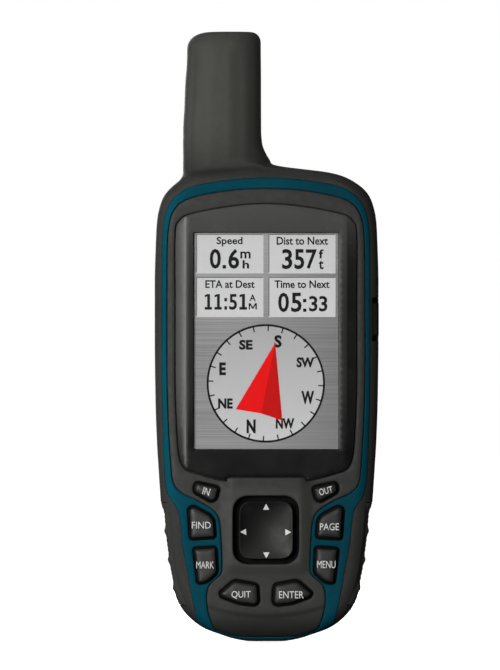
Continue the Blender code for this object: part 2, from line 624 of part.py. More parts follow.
# ------------------------------------------------------- door, lock, D-ring
LATCH = (0, LATCH_Z)
door = add("battery_door", slab([DOOR], Y_DOOR_IN, Y_DOOR_OUT), GREY, (0, Y_DOOR_IN, 42.0))
bevel(door, 1.4, 2)
cut(door, slab([rect(-15.9, 15.9, BAY_LO + 0.6, BAY_HI - 1.0, 1.0, 1)],
               Y_DOOR_IN - OVER, 14.6))
cut(door, rod(2.5, Y_DOOR_IN - OVER, Y_DOOR_OUT + OVER, LATCH, 14))
cut(door, rod(6.9, 15.6, Y_DOOR_OUT + OVER, LATCH, 20))
add("door_gasket", slab([inset(DOOR, 1.6), inset(DOOR, 2.6)],
                        Y_DOOR_SEAT + GAP, Y_DOOR_IN - GAP), SEAL_RED)

RING_DROP_Y = Y_RING - 0.1     # centre line of the ring wire and its hole
knob = add("latch_knob", rod(6.4, 15.9, 17.9, LATCH, 28), DARK, (0, Y_RING, LATCH_Z))
join(knob, rod(2.0, 8.0, 16.5, LATCH))
join(knob, slab([pad(0, LATCH_Z, 3.4, 1.9, 0.6, 1)], 17.6, 20.95))
cut(knob, rod(1.25, -5, 5, (RING_DROP_Y, LATCH_Z), 14, "X"))
cam_outline = rect(-2.9, 2.9, LATCH_Z - 6.4, LATCH_Z + 3.2, 1.4, 2)
add("latch_cam", slab([cam_outline, circle(0, LATCH_Z, 2.35, 14)], 9.2, 10.8),
    STEEL, (0, Y_RING, LATCH_Z))

RING_R = 7.4
ring_foot = [(6.2, 0.0), (7.0, 0.5), (RING_R, 1.4)]     # (x, z above the latch)
ring_bow = [(RING_R * cos(pi - a), 4.6 + RING_R * sin(a))
            for a in [pi * k / 10 for k in range(11)]]
ring_path = [(-x, z) for x, z in ring_foot] + ring_bow + ring_foot[::-1]
add("d_ring", wire([(x, RING_DROP_Y, LATCH_Z + z) for x, z in ring_path], 0.85, 2, closed=True),
    STEEL, (0, RING_DROP_Y, LATCH_Z))

# --------------------------------------------------------- spine and caps
spine = add("mounting_spine", slab([pad(0, SPINE_Z, 5.6, 8.0, 1.0, 2)], Y_BACK + GAP, 18.2),
            DARK)
join(spine, slab([pad(0, SPINE_Z, 8.0, 8.6, 1.6, 2)], 17.6, Y_SPINE))

# each cap has its origin on its left edge and a plug on its inner face
usb_cap = add("usb_cap", slab([pad(0, USB_Z, USB_CAP_HALF, 4.0, 1.3, 2)],
                              Y_BACK - 0.9, Y_BACK + 0.9),
              RUBBER, (-USB_CAP_HALF, Y_BACK + 0.6, USB_Z))
bevel(usb_cap, 0.3, 1)
join(usb_cap, slab([pad(0, USB_Z, 4.2, 2.4, 0.8, 1)], 12.0, 12.9))
mcx_cap = add("mcx_cap", slab([pad(MCX_CAP_X, MCX_Z, MCX_CAP_HALF, 3.4, 1.3, 2)],
                              Y_BACK - 0.9, Y_BACK + 0.7),
              RUBBER, (MCX_CAP_X - MCX_CAP_HALF, Y_BACK + 0.6, MCX_Z))
bevel(mcx_cap, 0.3, 1)
join(mcx_cap, rod(2.4, 11.4, 13.0, (MCX_X, MCX_Z), 14))

# ------------------------------------------------------------- case screws
# head, shaft towards the front plate, driver slot
for label, (x, z) in zip(("upper_left", "upper_right", "lower_left", "lower_right"), BOSSES):
    screw = add("case_screw_" + label, rod(1.9, Y_SCREW, -0.2, (x, z), 12), STEEL,
                (x, Y_SCREW, z))
    join(screw, rod(0.95, -11.6, Y_SCREW + 0.2, (x, z), 10))
    cut(screw, box((x - 0.3, x + 0.3), (-0.8, 0.5), (z - 2.2, z + 2.2)))

for ob in parts.objects:
    ob.data.shade_smooth()
    ob.data.set_sharp_from_angle(angle=radians(35))
bpy.context.view_layer.update()
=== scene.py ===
# A handheld receiver: screen over a rocker and eight keys, antenna mast at the top left,
# and a battery door, latch with ring, rail and two rubber caps on the back.
# It stands on z = 0 with its front towards -Y, its right flank towards +X and +Z up.
# Shapes are in millimetres, and outline points are (x, z) unless a comment says otherwise.
# Shader coordinates, lights and the camera are in metres.
from math import cos, hypot, pi, radians, sin
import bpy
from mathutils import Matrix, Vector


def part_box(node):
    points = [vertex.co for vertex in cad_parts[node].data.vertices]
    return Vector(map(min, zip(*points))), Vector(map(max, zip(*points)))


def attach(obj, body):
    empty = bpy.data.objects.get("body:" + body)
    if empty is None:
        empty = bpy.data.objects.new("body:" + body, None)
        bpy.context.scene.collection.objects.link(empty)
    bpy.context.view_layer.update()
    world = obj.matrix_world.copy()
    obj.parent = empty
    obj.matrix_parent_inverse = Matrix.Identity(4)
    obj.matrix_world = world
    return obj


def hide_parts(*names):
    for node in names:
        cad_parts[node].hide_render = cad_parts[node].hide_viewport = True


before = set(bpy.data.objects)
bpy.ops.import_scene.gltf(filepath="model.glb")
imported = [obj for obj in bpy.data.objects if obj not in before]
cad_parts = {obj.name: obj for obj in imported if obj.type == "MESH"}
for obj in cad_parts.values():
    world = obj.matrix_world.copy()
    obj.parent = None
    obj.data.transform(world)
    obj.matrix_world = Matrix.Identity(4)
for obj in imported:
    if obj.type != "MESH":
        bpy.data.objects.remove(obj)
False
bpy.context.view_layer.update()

import bmesh
import bpy
import numpy as np
from mathutils import Matrix, Vector
from mathutils.geometry import delaunay_2d_cdt

MM = 0.001

# ---------------------------------------------------------------- dimensions
# depth planes, front to back
Y_STEP, Y_PLATE_BACK, Y_LEDGE = -13.2, -12.3, -11.4
Y_PARTITION, Y_BAY, Y_SEAT, Y_BACK = -3.3, -2.1, 12.2, 13.6
Y_DOOR_IN, Y_DOOR_OUT, Y_SPINE = 13.4, 16.6, 21.0
Y_SCREEN = -13.66
MAST_X, MAST_Y = -11.15, 1.2
BAY_LOW, BAY_HIGH, BAY_HALF = 21.4, 77.4, 15.7
LATCH_Z, RING_Y, ROCKER_Z = 13.6, 19.7, 29.2
BOSSES = [(-23.6, 100.0), (23.6, 100.0), (-14.6, 8.2), (14.6, 8.2)]
RIBS = (28.9, 21.3, 13.9)  # heights of the grip's big ribs

# right halves of symmetric outlines, mostly from the top downwards
TRIM_OUT_HALF = [
    (0, 121.5), (9, 121.0), (17.6, 119.7), (21.6, 118.2), (24.6, 115.6), (26.2, 112.6),
    (27.0, 108), (27.3, 98), (27.3, 70), (27.0, 56), (26.5, 43), (25.4, 38), (23.3, 34.8),
    (22.5, 31), (21.9, 25), (20.6, 18.5), (19.7, 13), (18.6, 8), (17.2, 5.3)]
TRIM_IN_HALF = [
    (0, 118.7), (8, 118.4), (16.5, 117.1), (21.3, 115.6), (23.9, 113.4), (25.3, 110),
    (25.9, 104), (26.0, 90), (26.0, 70), (25.6, 56), (25.0, 46.5), (24.4, 41.6), (22.2, 38.9),
    (18.6, 37.2), (14.6, 34.9), (12.6, 32.6), (11.9, 28), (11.6, 20), (12.0, 17.6),
    (14.8, 14.9), (15.6, 12), (15.3, 8), (14.9, 4.9)]
TRIM_OUT_FOOT = [(17.75, 5.0), (15.6, 3.35), (13.6, 2.5), (10.9, 1.65), (8.4, 1.0),
                 (5.5, 0.5), (0, 0.42)]
TRIM_IN_FOOT = [(14.4, 5.0), (13.9, 3.65), (12.8, 2.8), (10.9, 2.05), (9.0, 1.55),
                (6.6, 1.22), (3.4, 1.08), (0, 1.05)]
LEDGE_FOOT = [(14, 4.1), (8, 3.0), (0, 2.6)]
WINDOW_HALF = [
    (0, 114.7), (10, 113.9), (19.8, 112.0), (22.7, 110.2), (23.8, 106.5), (23.8, 88),
    (23.8, 68), (23.4, 56), (22.8, 48.6), (21.4, 45.4), (18.6, 44.1), (11.0, 42.1),
    (9.6, 43.0), (0, 43.0)]
DOOR_HALF = [
    (0, 5.2), (8, 5.6), (14.5, 8.2), (18.2, 13), (19.8, 22), (20.6, 40), (21, 60), (21, 74),
    (20.3, 78), (17, 79.5), (0, 79.5)]

# corner points of the right-hand key of each pair
KEY_SHAPES = {
    "zoom": [(18.6, 42.05), (11.9, 40.55), (12.8, 37.1), (14.3, 36.3), (19.3, 39.15)],
    "upper": [(20.7, 35.0), (18.95, 35.95), (14.4, 33.5), (13.2, 31.9), (12.85, 26.9),
              (20.15, 26.4)],
    "lower": [(19.4, 24.75), (12.7, 25.15), (12.3, 17.8), (15.4, 15.1), (18.2, 14.75)],
    "foot": [(12.55, 12.8), (8.4, 16.43), (1.8, 15.2), (1.5, 10.16), (2.75, 9.11),
             (7.1, 9.6), (11.9, 11.4)],
}
# key: shape, side, word, word's box (left, right, low, high), turn in degrees
KEYS = {
    "key_in": ("zoom", -1, "IN", (-16.543, -14.723, 38.412, 40.308), -17),
    "key_out": ("zoom", 1, "OUT", (13.866, 17.431, 38.640, 40.384), 14),
    "key_find": ("upper", -1, "FIND", (-19.425, -14.496, 29.616, 31.360), 0),
    "key_page": ("upper", 1, "PAGE", (14.094, 19.099, 29.161, 30.981), 0),
    "key_mark": ("lower", -1, "MARK", (-18.287, -13.661, 19.151, 20.971), 0),
    "key_menu": ("lower", 1, "MENU", (13.411, 18.189, 19.226, 21.122), 0),
    "key_quit": ("foot", -1, "QUIT", (-9.036, -4.031, 11.188, 13.235), 0),
    "key_enter": ("foot", 1, "ENTER", (3.401, 9.847, 11.340, 13.160), 0),
}
TRIM_KEYS = ("key_find", "key_page", "key_mark", "key_menu")

# Body stations, (height, value): half width below the shoulder, which both flanks share.
BODY_HALF = [
    (0, 5.0), (0.35, 7.2), (0.9, 9.5), (1.4, 11.0), (1.8, 12.1), (2.6, 14.4), (3.4, 16.3),
    (5, 18.7), (6.6, 20.45), (8.1, 21.8), (9.7, 22.75), (11.3, 23.55), (13.6, 24.4),
    (16, 25.15), (19.2, 25.8), (23.9, 26.45), (27, 26.85), (31, 27.2), (37, 27.65),
    (44.4, 28.15), (52.8, 28.65), (63, 29.0), (80, 29.2), (94, 29.2), (105, 28.9),
    (110.5, 28.6), (113.5, 28.0), (115.8, 27.25), (117.4, 26.35), (118.9, 25.0)]
RIGHT = [(z, half + 0.32 * min(1, z / 5)) for z, half in BODY_HALF] + [
    (120, 23.85), (121, 22.25), (122.1, 19.85), (123.1, 15.9), (123.7, 11.3), (124.2, 7.1),
    (124.7, 3.5), (125.3, 1.5), (126.3, 1.0), (127.8, 0.1), (130.5, -0.95), (134, -1.25),
    (150, -1.3), (154.5, -1.35)]
LEFT = BODY_HALF + [
    (120, 23.75), (121, 22.6), (122.1, 22.0), (123.5, 21.8), (130, 21.8), (135.5, 21.75),
    (139.4, 21.5), (147, 21.2), (151, 20.85), (154.5, 20.75)]
FRONT = [
    (0, -11.2), (0.35, -11.7), (0.9, -12.3), (1.8, -13.0), (3.0, -13.6), (4.5, -14.1),
    (6.2, -14.45), (8.4, -14.6), (118.6, -14.6), (120.2, -14.55), (121.3, -14.3),
    (122.2, -13.75), (122.9, -12.9), (123.4, -11.9), (123.9, -11.2), (124.7, -10.8),
    (126.4, -10.5), (129, -10.05), (134, -9.45), (142, -9.0), (154.5, -8.6)]
BACK = [
    (0, 8.6), (0.6, 9.9), (1.4, 10.9), (2.6, 11.8), (4.5, 12.6), (7.5, 13.2), (12, 13.55),
    (16, 13.6), (112, 13.6), (117, 13.35), (120, 12.9), (122.5, 12.3), (125, 11.7),
    (128, 11.2), (133, 10.9), (154.5, 10.6)]
FRONT_RADIUS = [(0, 3.6), (4, 4.2), (8, 4.4), (116, 4.4), (121, 5.0), (124, 7.0),
                (128, 8.2), (154.5, 8.0)]
BACK_RADIUS = [(0, 4.5), (6, 6.0), (116, 6.5), (121, 7.5), (125, 9.0), (154.5, 9.2)]
MAST_TOP = 154.5  # last station; the mast's rounded end starts here


# ------------------------------------------------------------------ outlines
def mirrored(half):
    return list(half) + [(-x, z) for x, z in reversed(half[1:-1])]


def smooth(points, steps=6):
    """Closed Catmull-Rom curve through the points."""
    count, curve = len(points), []
    for i in range(count):
        knots = [points[(i + k) % count] for k in (-1, 0, 1, 2)]
        for step in range(steps):
            part = step / steps
            curve.append(tuple(
                0.5 * (2 * start + (end - before) * part
                       + (2 * before - 5 * start + 4 * end - after) * part * part
                       + (3 * start - before - 3 * end + after) * part ** 3)
                for before, start, end, after in zip(*knots)))
    return curve


def area(loop):
    return 0.5 * sum(here[0] * there[1] - there[0] * here[1]
                     for here, there in zip(loop, loop[1:] + loop[:1]))


def resample(loop, step):
    """Closed loop with points about `step` apart."""
    points = np.array(loop + loop[:1], float)
    along = np.concatenate([[0], np.cumsum(np.hypot(*np.diff(points, axis=0).T))])
    count = max(8, int(round(along[-1] / step)))
    marks = np.linspace(0, along[-1], count, endpoint=False)
    return list(zip(*(np.interp(marks, along, axis).tolist() for axis in points.T)))


def inset(loop, distance):
    """Loop moved inwards by distance (outwards when negative)."""
    sign = 1 if area(loop) > 0 else -1

    def normal(start, end):
        run, rise = end[0] - start[0], end[1] - start[1]
        length = max(hypot(run, rise), 1e-9)
        return -rise / length * sign, run / length * sign

    moved = []
    for i, (x, z) in enumerate(loop):
        before = normal(loop[i - 1], (x, z))
        after = normal((x, z), loop[(i + 1) % len(loop)])
        reach = distance / max(0.35, 1 + before[0] * after[0] + before[1] * after[1])
        moved.append((x + (before[0] + after[0]) * reach, z + (before[1] + after[1]) * reach))
    return moved


def rounded(loop, radius, steps=6):
    """Loop with its corners replaced by quadratic curves."""
    curve = []
    for i in range(len(loop)):
        before, corner, after = (Vector(loop[(i + k) % len(loop)]) for k in (-1, 0, 1))
        back, ahead = before - corner, after - corner
        cut = min(radius, 0.46 * back.length, 0.46 * ahead.length)
        start, end = corner + back.normalized() * cut, corner + ahead.normalized() * cut
        for k in range(steps + 1):
            part = k / steps
            curve.append(tuple(start * (1 - part) ** 2 + corner * 2 * part * (1 - part)
                               + end * part * part))
    return curve


def rect(left, right, low, high, radius=0.0, steps=6):
    loop = [(left, low), (right, low), (right, high), (left, high)]
    return rounded(loop, radius, steps) if radius else loop


def circle(x, z, radius, count=128):
    turns = [2 * pi * i / count for i in range(count)]
    return [(x + radius * cos(turn), z + radius * sin(turn)) for turn in turns]


def key_hole(kind, side):
    """Opening round a key: its rounded shape with a little clearance."""
    loop = rounded([(side * x, z) for x, z in KEY_SHAPES[kind]], 1.25)
    return inset(loop if area(loop) > 0 else loop[::-1], -0.16 if kind == "zoom" else -0.05)


LEDGE = smooth(mirrored(TRIM_OUT_HALF + LEDGE_FOOT))
TRIM_OUT = smooth(mirrored(TRIM_OUT_HALF[:-1] + TRIM_OUT_FOOT))
TRIM_IN = smooth(mirrored(TRIM_IN_HALF[:-1] + TRIM_IN_FOOT))
WINDOW = smooth(mirrored(WINDOW_HALF))
DOOR = smooth(mirrored(DOOR_HALF))
ROCKER_WELL = rect(-8.7, 8.7, ROCKER_Z - 9.0, ROCKER_Z + 9.0, 4.6, 10)
KEY_HOLES = {name: key_hole(*spec[:2]) for name, spec in KEYS.items()}


# -------------------------------------------------------- body cross-sections
def curve_at(table, at):
    """Monotone cubic through a table of (place, value)."""
    place, value = np.array(table, float).T
    at = np.asarray(at, float)
    gap = np.diff(place)
    rise = np.diff(value) / gap
    slope = np.zeros_like(value)
    slope[0], slope[-1] = rise[0], rise[-1]
    for i in range(1, len(place) - 1):
        if rise[i - 1] * rise[i] > 0:
            before, after = 2 * gap[i] + gap[i - 1], gap[i] + 2 * gap[i - 1]
            slope[i] = (before + after) / (before / rise[i - 1] + after / rise[i])
    i = np.clip(np.searchsorted(place, at, side="right") - 1, 0, len(place) - 2)
    part = np.clip((at - place[i]) / gap[i], 0, 1)
    return (value[i] * (2 * part ** 3 - 3 * part ** 2 + 1)
            + slope[i] * gap[i] * (part ** 3 - 2 * part ** 2 + part)
            + value[i + 1] * (3 * part ** 2 - 2 * part ** 3)
            + slope[i + 1] * gap[i] * (part ** 3 - part ** 2))


def ease(start, end, x):
    """Smooth step from 0 at start to 1 at end."""
    part = np.clip((np.asarray(x, float) - start) / (end - start), 0, 1)
    return part * part * (3 - 2 * part)


def section(z):
    """Left, right, front, back, front radius, back radius at height z (arrays allowed)."""
    left, *others = (curve_at(table, z)
                     for table in (LEFT, RIGHT, FRONT, BACK, FRONT_RADIUS, BACK_RADIUS))
    return (-left, *others)


def corner_radii(radius, half, depth):
    """Corner radii along x and y, held within the section."""
    return np.minimum(radius, half * 0.94), np.minimum(radius, depth * 0.47)


def skin_y(x, z):
    """Depth of the body's front skin at (x, z)."""
    left, right, front, back, radius, _ = section(z)
    half = (right - left) / 2
    across, deep = corner_radii(radius, half, back - front)
    past = np.clip((np.abs(x - (left + right) / 2) - (half - across)) / across, 0, 0.999)
    return front + deep * (1 - np.sqrt(1 - past * past))


def straight(x, y, run, rise, count):
    return [(x + run * (k / count), y + rise * (k / count)) for k in range(count)]


def quarter(x, y, across, deep, start, count):
    turns = [start + pi / 2 * k / count for k in range(count)]
    return [(x + across * cos(turn), y + deep * sin(turn)) for turn in turns]


def section_loop(left, right, front, back, front_radius, back_radius):
    """Closed loop (x, y) of a rounded section, with the same count for every section."""
    width, depth = right - left, back - front
    fore_x, fore_y = corner_radii(front_radius, width / 2, depth)
    rear_x, rear_y = corner_radii(back_radius, width / 2, depth)
    side = back - rear_y - front - fore_y
    return (straight(left + fore_x, front, width - 2 * fore_x, 0, 26)
            + quarter(right - fore_x, front + fore_y, fore_x, fore_y, -pi / 2, 24)
            + straight(right, front + fore_y, 0, side, 12)
            + quarter(right - rear_x, back - rear_y, rear_x, rear_y, 0, 14)
            + straight(right - rear_x, back, -(width - 2 * rear_x), 0, 26)
            + quarter(left + rear_x, back - rear_y, rear_x, rear_y, pi / 2, 14)
            + straight(left, back - rear_y, 0, -side, 12)
            + quarter(left + fore_x, front + fore_y, fore_x, fore_y, pi, 24))


# ------------------------------------------------------------- mesh building
def new_collection(name):
    collection = bpy.data.collections.new(name)
    bpy.context.scene.collection.children.link(collection)
    return collection


scratch = new_collection("scratch")
visual = new_collection("visual")


def new_mesh(name, verts, faces):
    mesh = bpy.data.meshes.new(name)
    mesh.from_pydata([[value * MM for value in vert] for vert in verts], [], faces)
    mesh.validate()
    return mesh


def clean(mesh, distance=1e-7, recalc=True):
    work = bmesh.new()
    work.from_mesh(mesh)
    bmesh.ops.remove_doubles(work, verts=work.verts, dist=distance)
    bmesh.ops.dissolve_degenerate(work, dist=1e-8, edges=work.edges)
    if recalc:
        bmesh.ops.recalc_face_normals(work, faces=work.faces)
    work.to_mesh(mesh)
    work.free()
    return mesh


def piece(name, mesh, materials, stands_for, sharp=38, body="housing"):
    """Finished object that rides on a body and replaces a CAD piece; sharp is in degrees."""
    obj = bpy.data.objects.new(name, mesh)
    visual.objects.link(obj)
    for material in materials:
        mesh.materials.append(material)
    mesh.shade_smooth()
    mesh.set_sharp_from_angle(angle=radians(sharp))
    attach(obj, body)
    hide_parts(stands_for)


def temp(data):
    obj = bpy.data.objects.new("tmp", data)
    scratch.objects.link(obj)
    return obj


def baked(obj, *tools):
    """Mesh of a scratch object with its modifiers applied; the objects are removed."""
    bpy.context.view_layer.update()
    graph = bpy.context.evaluated_depsgraph_get()
    mesh = bpy.data.meshes.new_from_object(obj.evaluated_get(graph))
    for used in (*tools, obj):
        bpy.data.objects.remove(used, do_unlink=True)
    return mesh


def less(*meshes):
    return [(mesh, "DIFFERENCE") for mesh in meshes]


def plus(*meshes):
    return [(mesh, "UNION") for mesh in meshes]


def boolean(mesh, steps):
    """Mesh after a list of less() and plus() steps, one after another."""
    obj, tools = temp(mesh), []
    for tool, operation in steps:
        tools.append(temp(tool))
        modifier = obj.modifiers.new("b", "BOOLEAN")
        modifier.object, modifier.operation, modifier.solver = tools[-1], operation, "EXACT"
    return baked(obj, *tools)


def bevelled(mesh, width, segments=3, angle=35):
    obj = temp(mesh)
    modifier = obj.modifiers.new("bevel", "BEVEL")
    modifier.width, modifier.segments = width * MM, segments
    modifier.limit_method, modifier.angle_limit = "ANGLE", radians(angle)
    return baked(obj)


def prism(loop, low, high, axis="Y"):
    """Straight prism between two planes; along X the outline is (y, z)."""
    if area(loop) < 0:
        loop = loop[::-1]
    count = len(loop)
    verts = [(level, across, up) if axis == "X" else (across, level, up)
             for level in (low, high) for across, up in loop]
    faces = [list(range(count)), list(range(2 * count - 1, count - 1, -1))]
    faces += [[i, i + count, (i + 1) % count + count, (i + 1) % count] for i in range(count)]
    return clean(new_mesh("prism", verts, faces))


def slab(loop, low, high):
    """Prism standing on an (x, y) outline between two heights."""
    count = len(loop)
    verts = [(x, y, z) for z in (low, high) for x, y in loop]
    faces = [list(range(count))[::-1], list(range(count, 2 * count))]
    faces += [[i, (i + 1) % count, count + (i + 1) % count, count + i] for i in range(count)]
    return clean(new_mesh("slab", verts, faces))


def rod(radius, low, high, at, axis="Y", count=48):
    """Cylinder between two planes; at is (x, z), or (y, z) along X."""
    mesh = bpy.data.meshes.new("rod")
    work = bmesh.new()
    bmesh.ops.create_cone(work, cap_ends=True, segments=count, radius1=radius * MM,
                          radius2=radius * MM, depth=(high - low) * MM)
    work.to_mesh(mesh)
    work.free()
    middle = (low + high) / 2
    if axis == "Y":
        place, turn = (at[0], middle, at[1]), Matrix.Rotation(-pi / 2, 4, "X")
    else:
        place, turn = (middle, at[0], at[1]), Matrix.Rotation(pi / 2, 4, "Y")
    mesh.transform(Matrix.Translation(Vector(place) * MM) @ turn)
    return mesh


def tube(path, radius):
    """Round wire along a closed path of (x, y, z)."""
    curve = bpy.data.curves.new("wire", "CURVE")
    curve.dimensions = "3D"
    curve.bevel_depth, curve.bevel_resolution = radius * MM, 6
    curve.use_fill_caps = True
    spline = curve.splines.new("POLY")
    spline.points.add(len(path) - 1)
    for point, (x, y, z) in zip(spline.points, path):
        point.co = (x * MM, y * MM, z * MM, 1)
    spline.use_cyclic_u = True
    return clean(baked(temp(curve)), recalc=False)


def turned(profile, at, count=48):
    """Solid of revolution from (radius, z) points, top to bottom; both ends on the axis."""
    x, y = at
    turns = [2 * pi * k / count for k in range(count)]
    verts = [(x + radius * cos(turn), y + radius * sin(turn), z)
             for radius, z in profile[1:-1] for turn in turns]
    last = len(verts) - count
    faces = []
    for i in range(0, last, count):
        for k in range(count):
            here, there = i + k, i + (k + 1) % count
            faces.append([here, here + count, there + count, there])
    top = len(verts)
    verts += [(x, y, profile[0][1]), (x, y, profile[-1][1])]
    for k in range(count):
        faces.append([top, k, (k + 1) % count])
        faces.append([top + 1, last + (k + 1) % count, last + k])
    return clean(new_mesh("turned", verts, faces))


def merge(*meshes):
    """Several meshes as one."""
    work = bmesh.new()
    for mesh in meshes:
        work.from_mesh(mesh)
    merged = bpy.data.meshes.new("merged")
    work.to_mesh(merged)
    work.free()
    return merged


def tag(mesh, index):
    """Put the whole mesh in one material slot."""
    for polygon in mesh.polygons:
        polygon.material_index = index
    return mesh


def segments(loop):
    ends = np.array(loop, float)
    return zip(ends, np.roll(ends, -1, axis=0))


def inside(loop, points):
    """Which points lie inside the polygon."""
    across, up = points[:, 0], points[:, 1]
    hit = np.zeros(len(points), bool)
    for (left, low), (right, high) in segments(loop):
        if low != high:
            hit ^= ((low > up) != (high > up)) & (
                across < (right - left) * (up - low) / (high - low) + left)
    return hit


def within(loops, points):
    """Which points lie in the first loop and outside the others."""
    keep = inside(loops[0], points)
    for hole in loops[1:]:
        keep &= ~inside(hole, points)
    return keep


def near(loop, points):
    """Distance from each point to the polygon's boundary."""
    best = np.full(len(points), 1e9)
    for start, end in segments(loop):
        run = end - start
        square = float(run @ run)
        if square < 1e-16:
            continue
        part = np.clip(((points - start) @ run) / square, 0, 1)
        away = points - (start + part[:, None] * run)
        best = np.minimum(best, away[:, 0] ** 2 + away[:, 1] ** 2)
    return np.sqrt(best)


def triangulate(points, edges, loops, tolerance, facing):
    """Places, triangles within the loops wound to the sign of facing, and source points."""
    verts, _, faces, sources, _, _ = delaunay_2d_cdt(
        [Vector(point) for point in points], edges, [], 0, tolerance, True)
    places = np.array([tuple(vert) for vert in verts])
    found = np.array([list(face) for face in faces if len(face) == 3])
    found = found[within(loops, places[found].mean(axis=1))]
    one, two, three = (places[found[:, k]] for k in range(3))
    turn = ((two[:, 0] - one[:, 0]) * (three[:, 1] - one[:, 1])
            - (two[:, 1] - one[:, 1]) * (three[:, 0] - one[:, 0]))
    wrong = turn * facing < 0
    found[wrong] = found[wrong][:, ::-1]
    return places, found.tolist(), sources


def fill_points(bounds, fine, rings):
    """Staggered grid of points kept clear of the rings; fine is a denser area."""
    grids = []
    for left, right, low, high, pitch in [bounds] + ([fine] if fine else []):
        columns = int((right - left) / pitch) + 1
        rows = int((high - low) / (pitch * 0.87)) + 1
        row = np.arange(rows)[:, None]
        x = left + (np.arange(columns)[None, :] + 0.5 * (row % 2)) * pitch
        z = low + np.repeat(row, columns, 1) * pitch * 0.87
        grid = np.stack([x.ravel(), z.ravel()], 1)
        if fine and not grids:
            x, z = grid.T
            margin = pitch * 0.4
            grid = grid[~((x > fine[0] - margin) & (x < fine[1] + margin)
                          & (z > fine[2] - margin) & (z < fine[3] + margin))]
        grid = grid[within(rings, grid)]
        clear = np.min([near(ring, grid) for ring in rings], axis=0)
        grids.append(grid[clear > pitch * 0.45])
    return np.concatenate(grids)


def plate(outer, holes, top, back, edge, step=0.8, hole_edge=None, rings=4, fine=None,
          loop_step=0.5, lines=()):
    """Closed plate facing -Y: outline with holes and front skin y = top(x, z).

    The back is a depth, or a function of the skin's depth. Front rims are rounded with
    radius edge (hole_edge at holes); fine is (left, right, low, high, step) of a denser
    area, and lines are extra rows of points.
    """
    hole_edge = edge if hole_edge is None else hole_edge
    loops, inner, points, drops, edges = [], [], [], [], []
    for i, loop in enumerate([outer, *holes]):
        rim, side = (hole_edge, -1) if i else (edge, 1)
        loop = resample(loop, loop_step)
        if area(loop) < 0:
            loop = loop[::-1]
        loops.append(loop)
        for k in range(rings):
            angle = pi / 2 * k / (rings - 1)
            shift = rim * (1 - cos(angle))
            ring = inset(loop, side * shift) if shift > 0 else loop
            start, count = len(points), len(ring)
            points += ring
            drops += [rim * (1 - sin(angle))] * count
            edges += [(start + j, start + (j + 1) % count) for j in range(count)]
        inner.append(ring)
    xs, zs = zip(*outer)
    grid = fill_points((min(xs), max(xs), min(zs), max(zs), step), fine, inner)
    for line in lines:
        start = len(points)
        points += line
        drops += [0.0] * len(line)
        edges += [(start + j, start + j + 1) for j in range(len(line) - 1)]
        grid = grid[near(line, grid) > step * 0.3]
    points += [tuple(point) for point in grid.tolist()]
    drops += [0.0] * len(grid)

    places, faces, sources = triangulate(points, edges, loops, 1e-5, 1)
    drop = np.array([max((drops[j] for j in source), default=0.0) for source in sources])
    depths = top(places[:, 0], places[:, 1]) + drop
    verts = [(x, y, z) for (x, z), y in zip(places.tolist(), depths.tolist())]

    # walls down from the border edges, then a plain back between them
    used = {(face[j], face[(j + 1) % 3]): None for face in faces for j in range(3)}
    border = [pair for pair in used if pair[::-1] not in used]
    under = {}
    for vert in (vert for pair in border for vert in pair):
        if vert not in under:
            under[vert] = len(verts)
            deep = float(back(depths[vert])) if callable(back) else back
            verts.append((places[vert, 0], deep, places[vert, 1]))
    faces += [[end, start, under[start], under[end]] for start, end in border]
    rim = sorted(under)
    order = {vert: j for j, vert in enumerate(rim)}
    _, closing, sources = triangulate([places[vert] for vert in rim],
                                      [(order[start], order[end]) for start, end in border],
                                      loops, 1e-6, -1)
    faces += [[under[rim[sources[j][0]]] for j in face] for face in closing]
    return new_mesh("plate", verts, faces)


def get_points(mesh):
    flat = np.zeros(len(mesh.vertices) * 3)
    mesh.vertices.foreach_get("co", flat)
    return flat.reshape(-1, 3)


def set_points(mesh, points):
    mesh.vertices.foreach_set("co", points.ravel())
    mesh.update()


def text_mesh(words, left, right, low, high, y=0.0, thick=0.03, turn=0.0, weight=0.0):
    """Lettering scaled to fill a box in the plane facing -Y, with its front face at y."""
    curve = bpy.data.curves.new("words", "FONT")
    curve.body, curve.extrude, curve.resolution_u, curve.offset = words, 0.5, 3, weight
    mesh = clean(baked(temp(curve)), 1e-5, False)
    points = get_points(mesh)
    least, most = points.min(0), points.max(0)
    across = ((points[:, 0] - (least[0] + most[0]) / 2)
              * (right - left) / (most[0] - least[0]))
    up = (points[:, 1] - (least[1] + most[1]) / 2) * (high - low) / (most[1] - least[1])
    cosine, sine = cos(radians(turn)), sin(radians(turn))
    x = (left + right) / 2 + across * cosine - up * sine
    z = (low + high) / 2 + across * sine + up * cosine
    mesh.materials.clear()
    set_points(mesh, np.stack([x, np.where(points[:, 2] > 0, y, y + thick), z], 1) * MM)
    return mesh


def press_on(mesh, top, proud, depth):
    """Lay a flat mesh on the surface y = top(x, z)."""
    points = get_points(mesh) / MM
    middle = (points[:, 1].min() + points[:, 1].max()) / 2
    skin = top(points[:, 0], points[:, 2])
    points[:, 1] = np.where(points[:, 1] < middle, skin - proud, skin + depth)
    set_points(mesh, points * MM)
    return mesh


# ------------------------------------------------------------------ materials
def linear(value):
    value /= 255.0
    return value / 12.92 if value <= 0.04045 else ((value + 0.055) / 1.055) ** 2.4


def rgb(color, gain=1.0):
    """Linear colour from 0-255 sRGB values."""
    return tuple(min(1.0, linear(value) * gain) for value in color) + (1.0,)


def grey(value):
    return rgb((value, value, value))


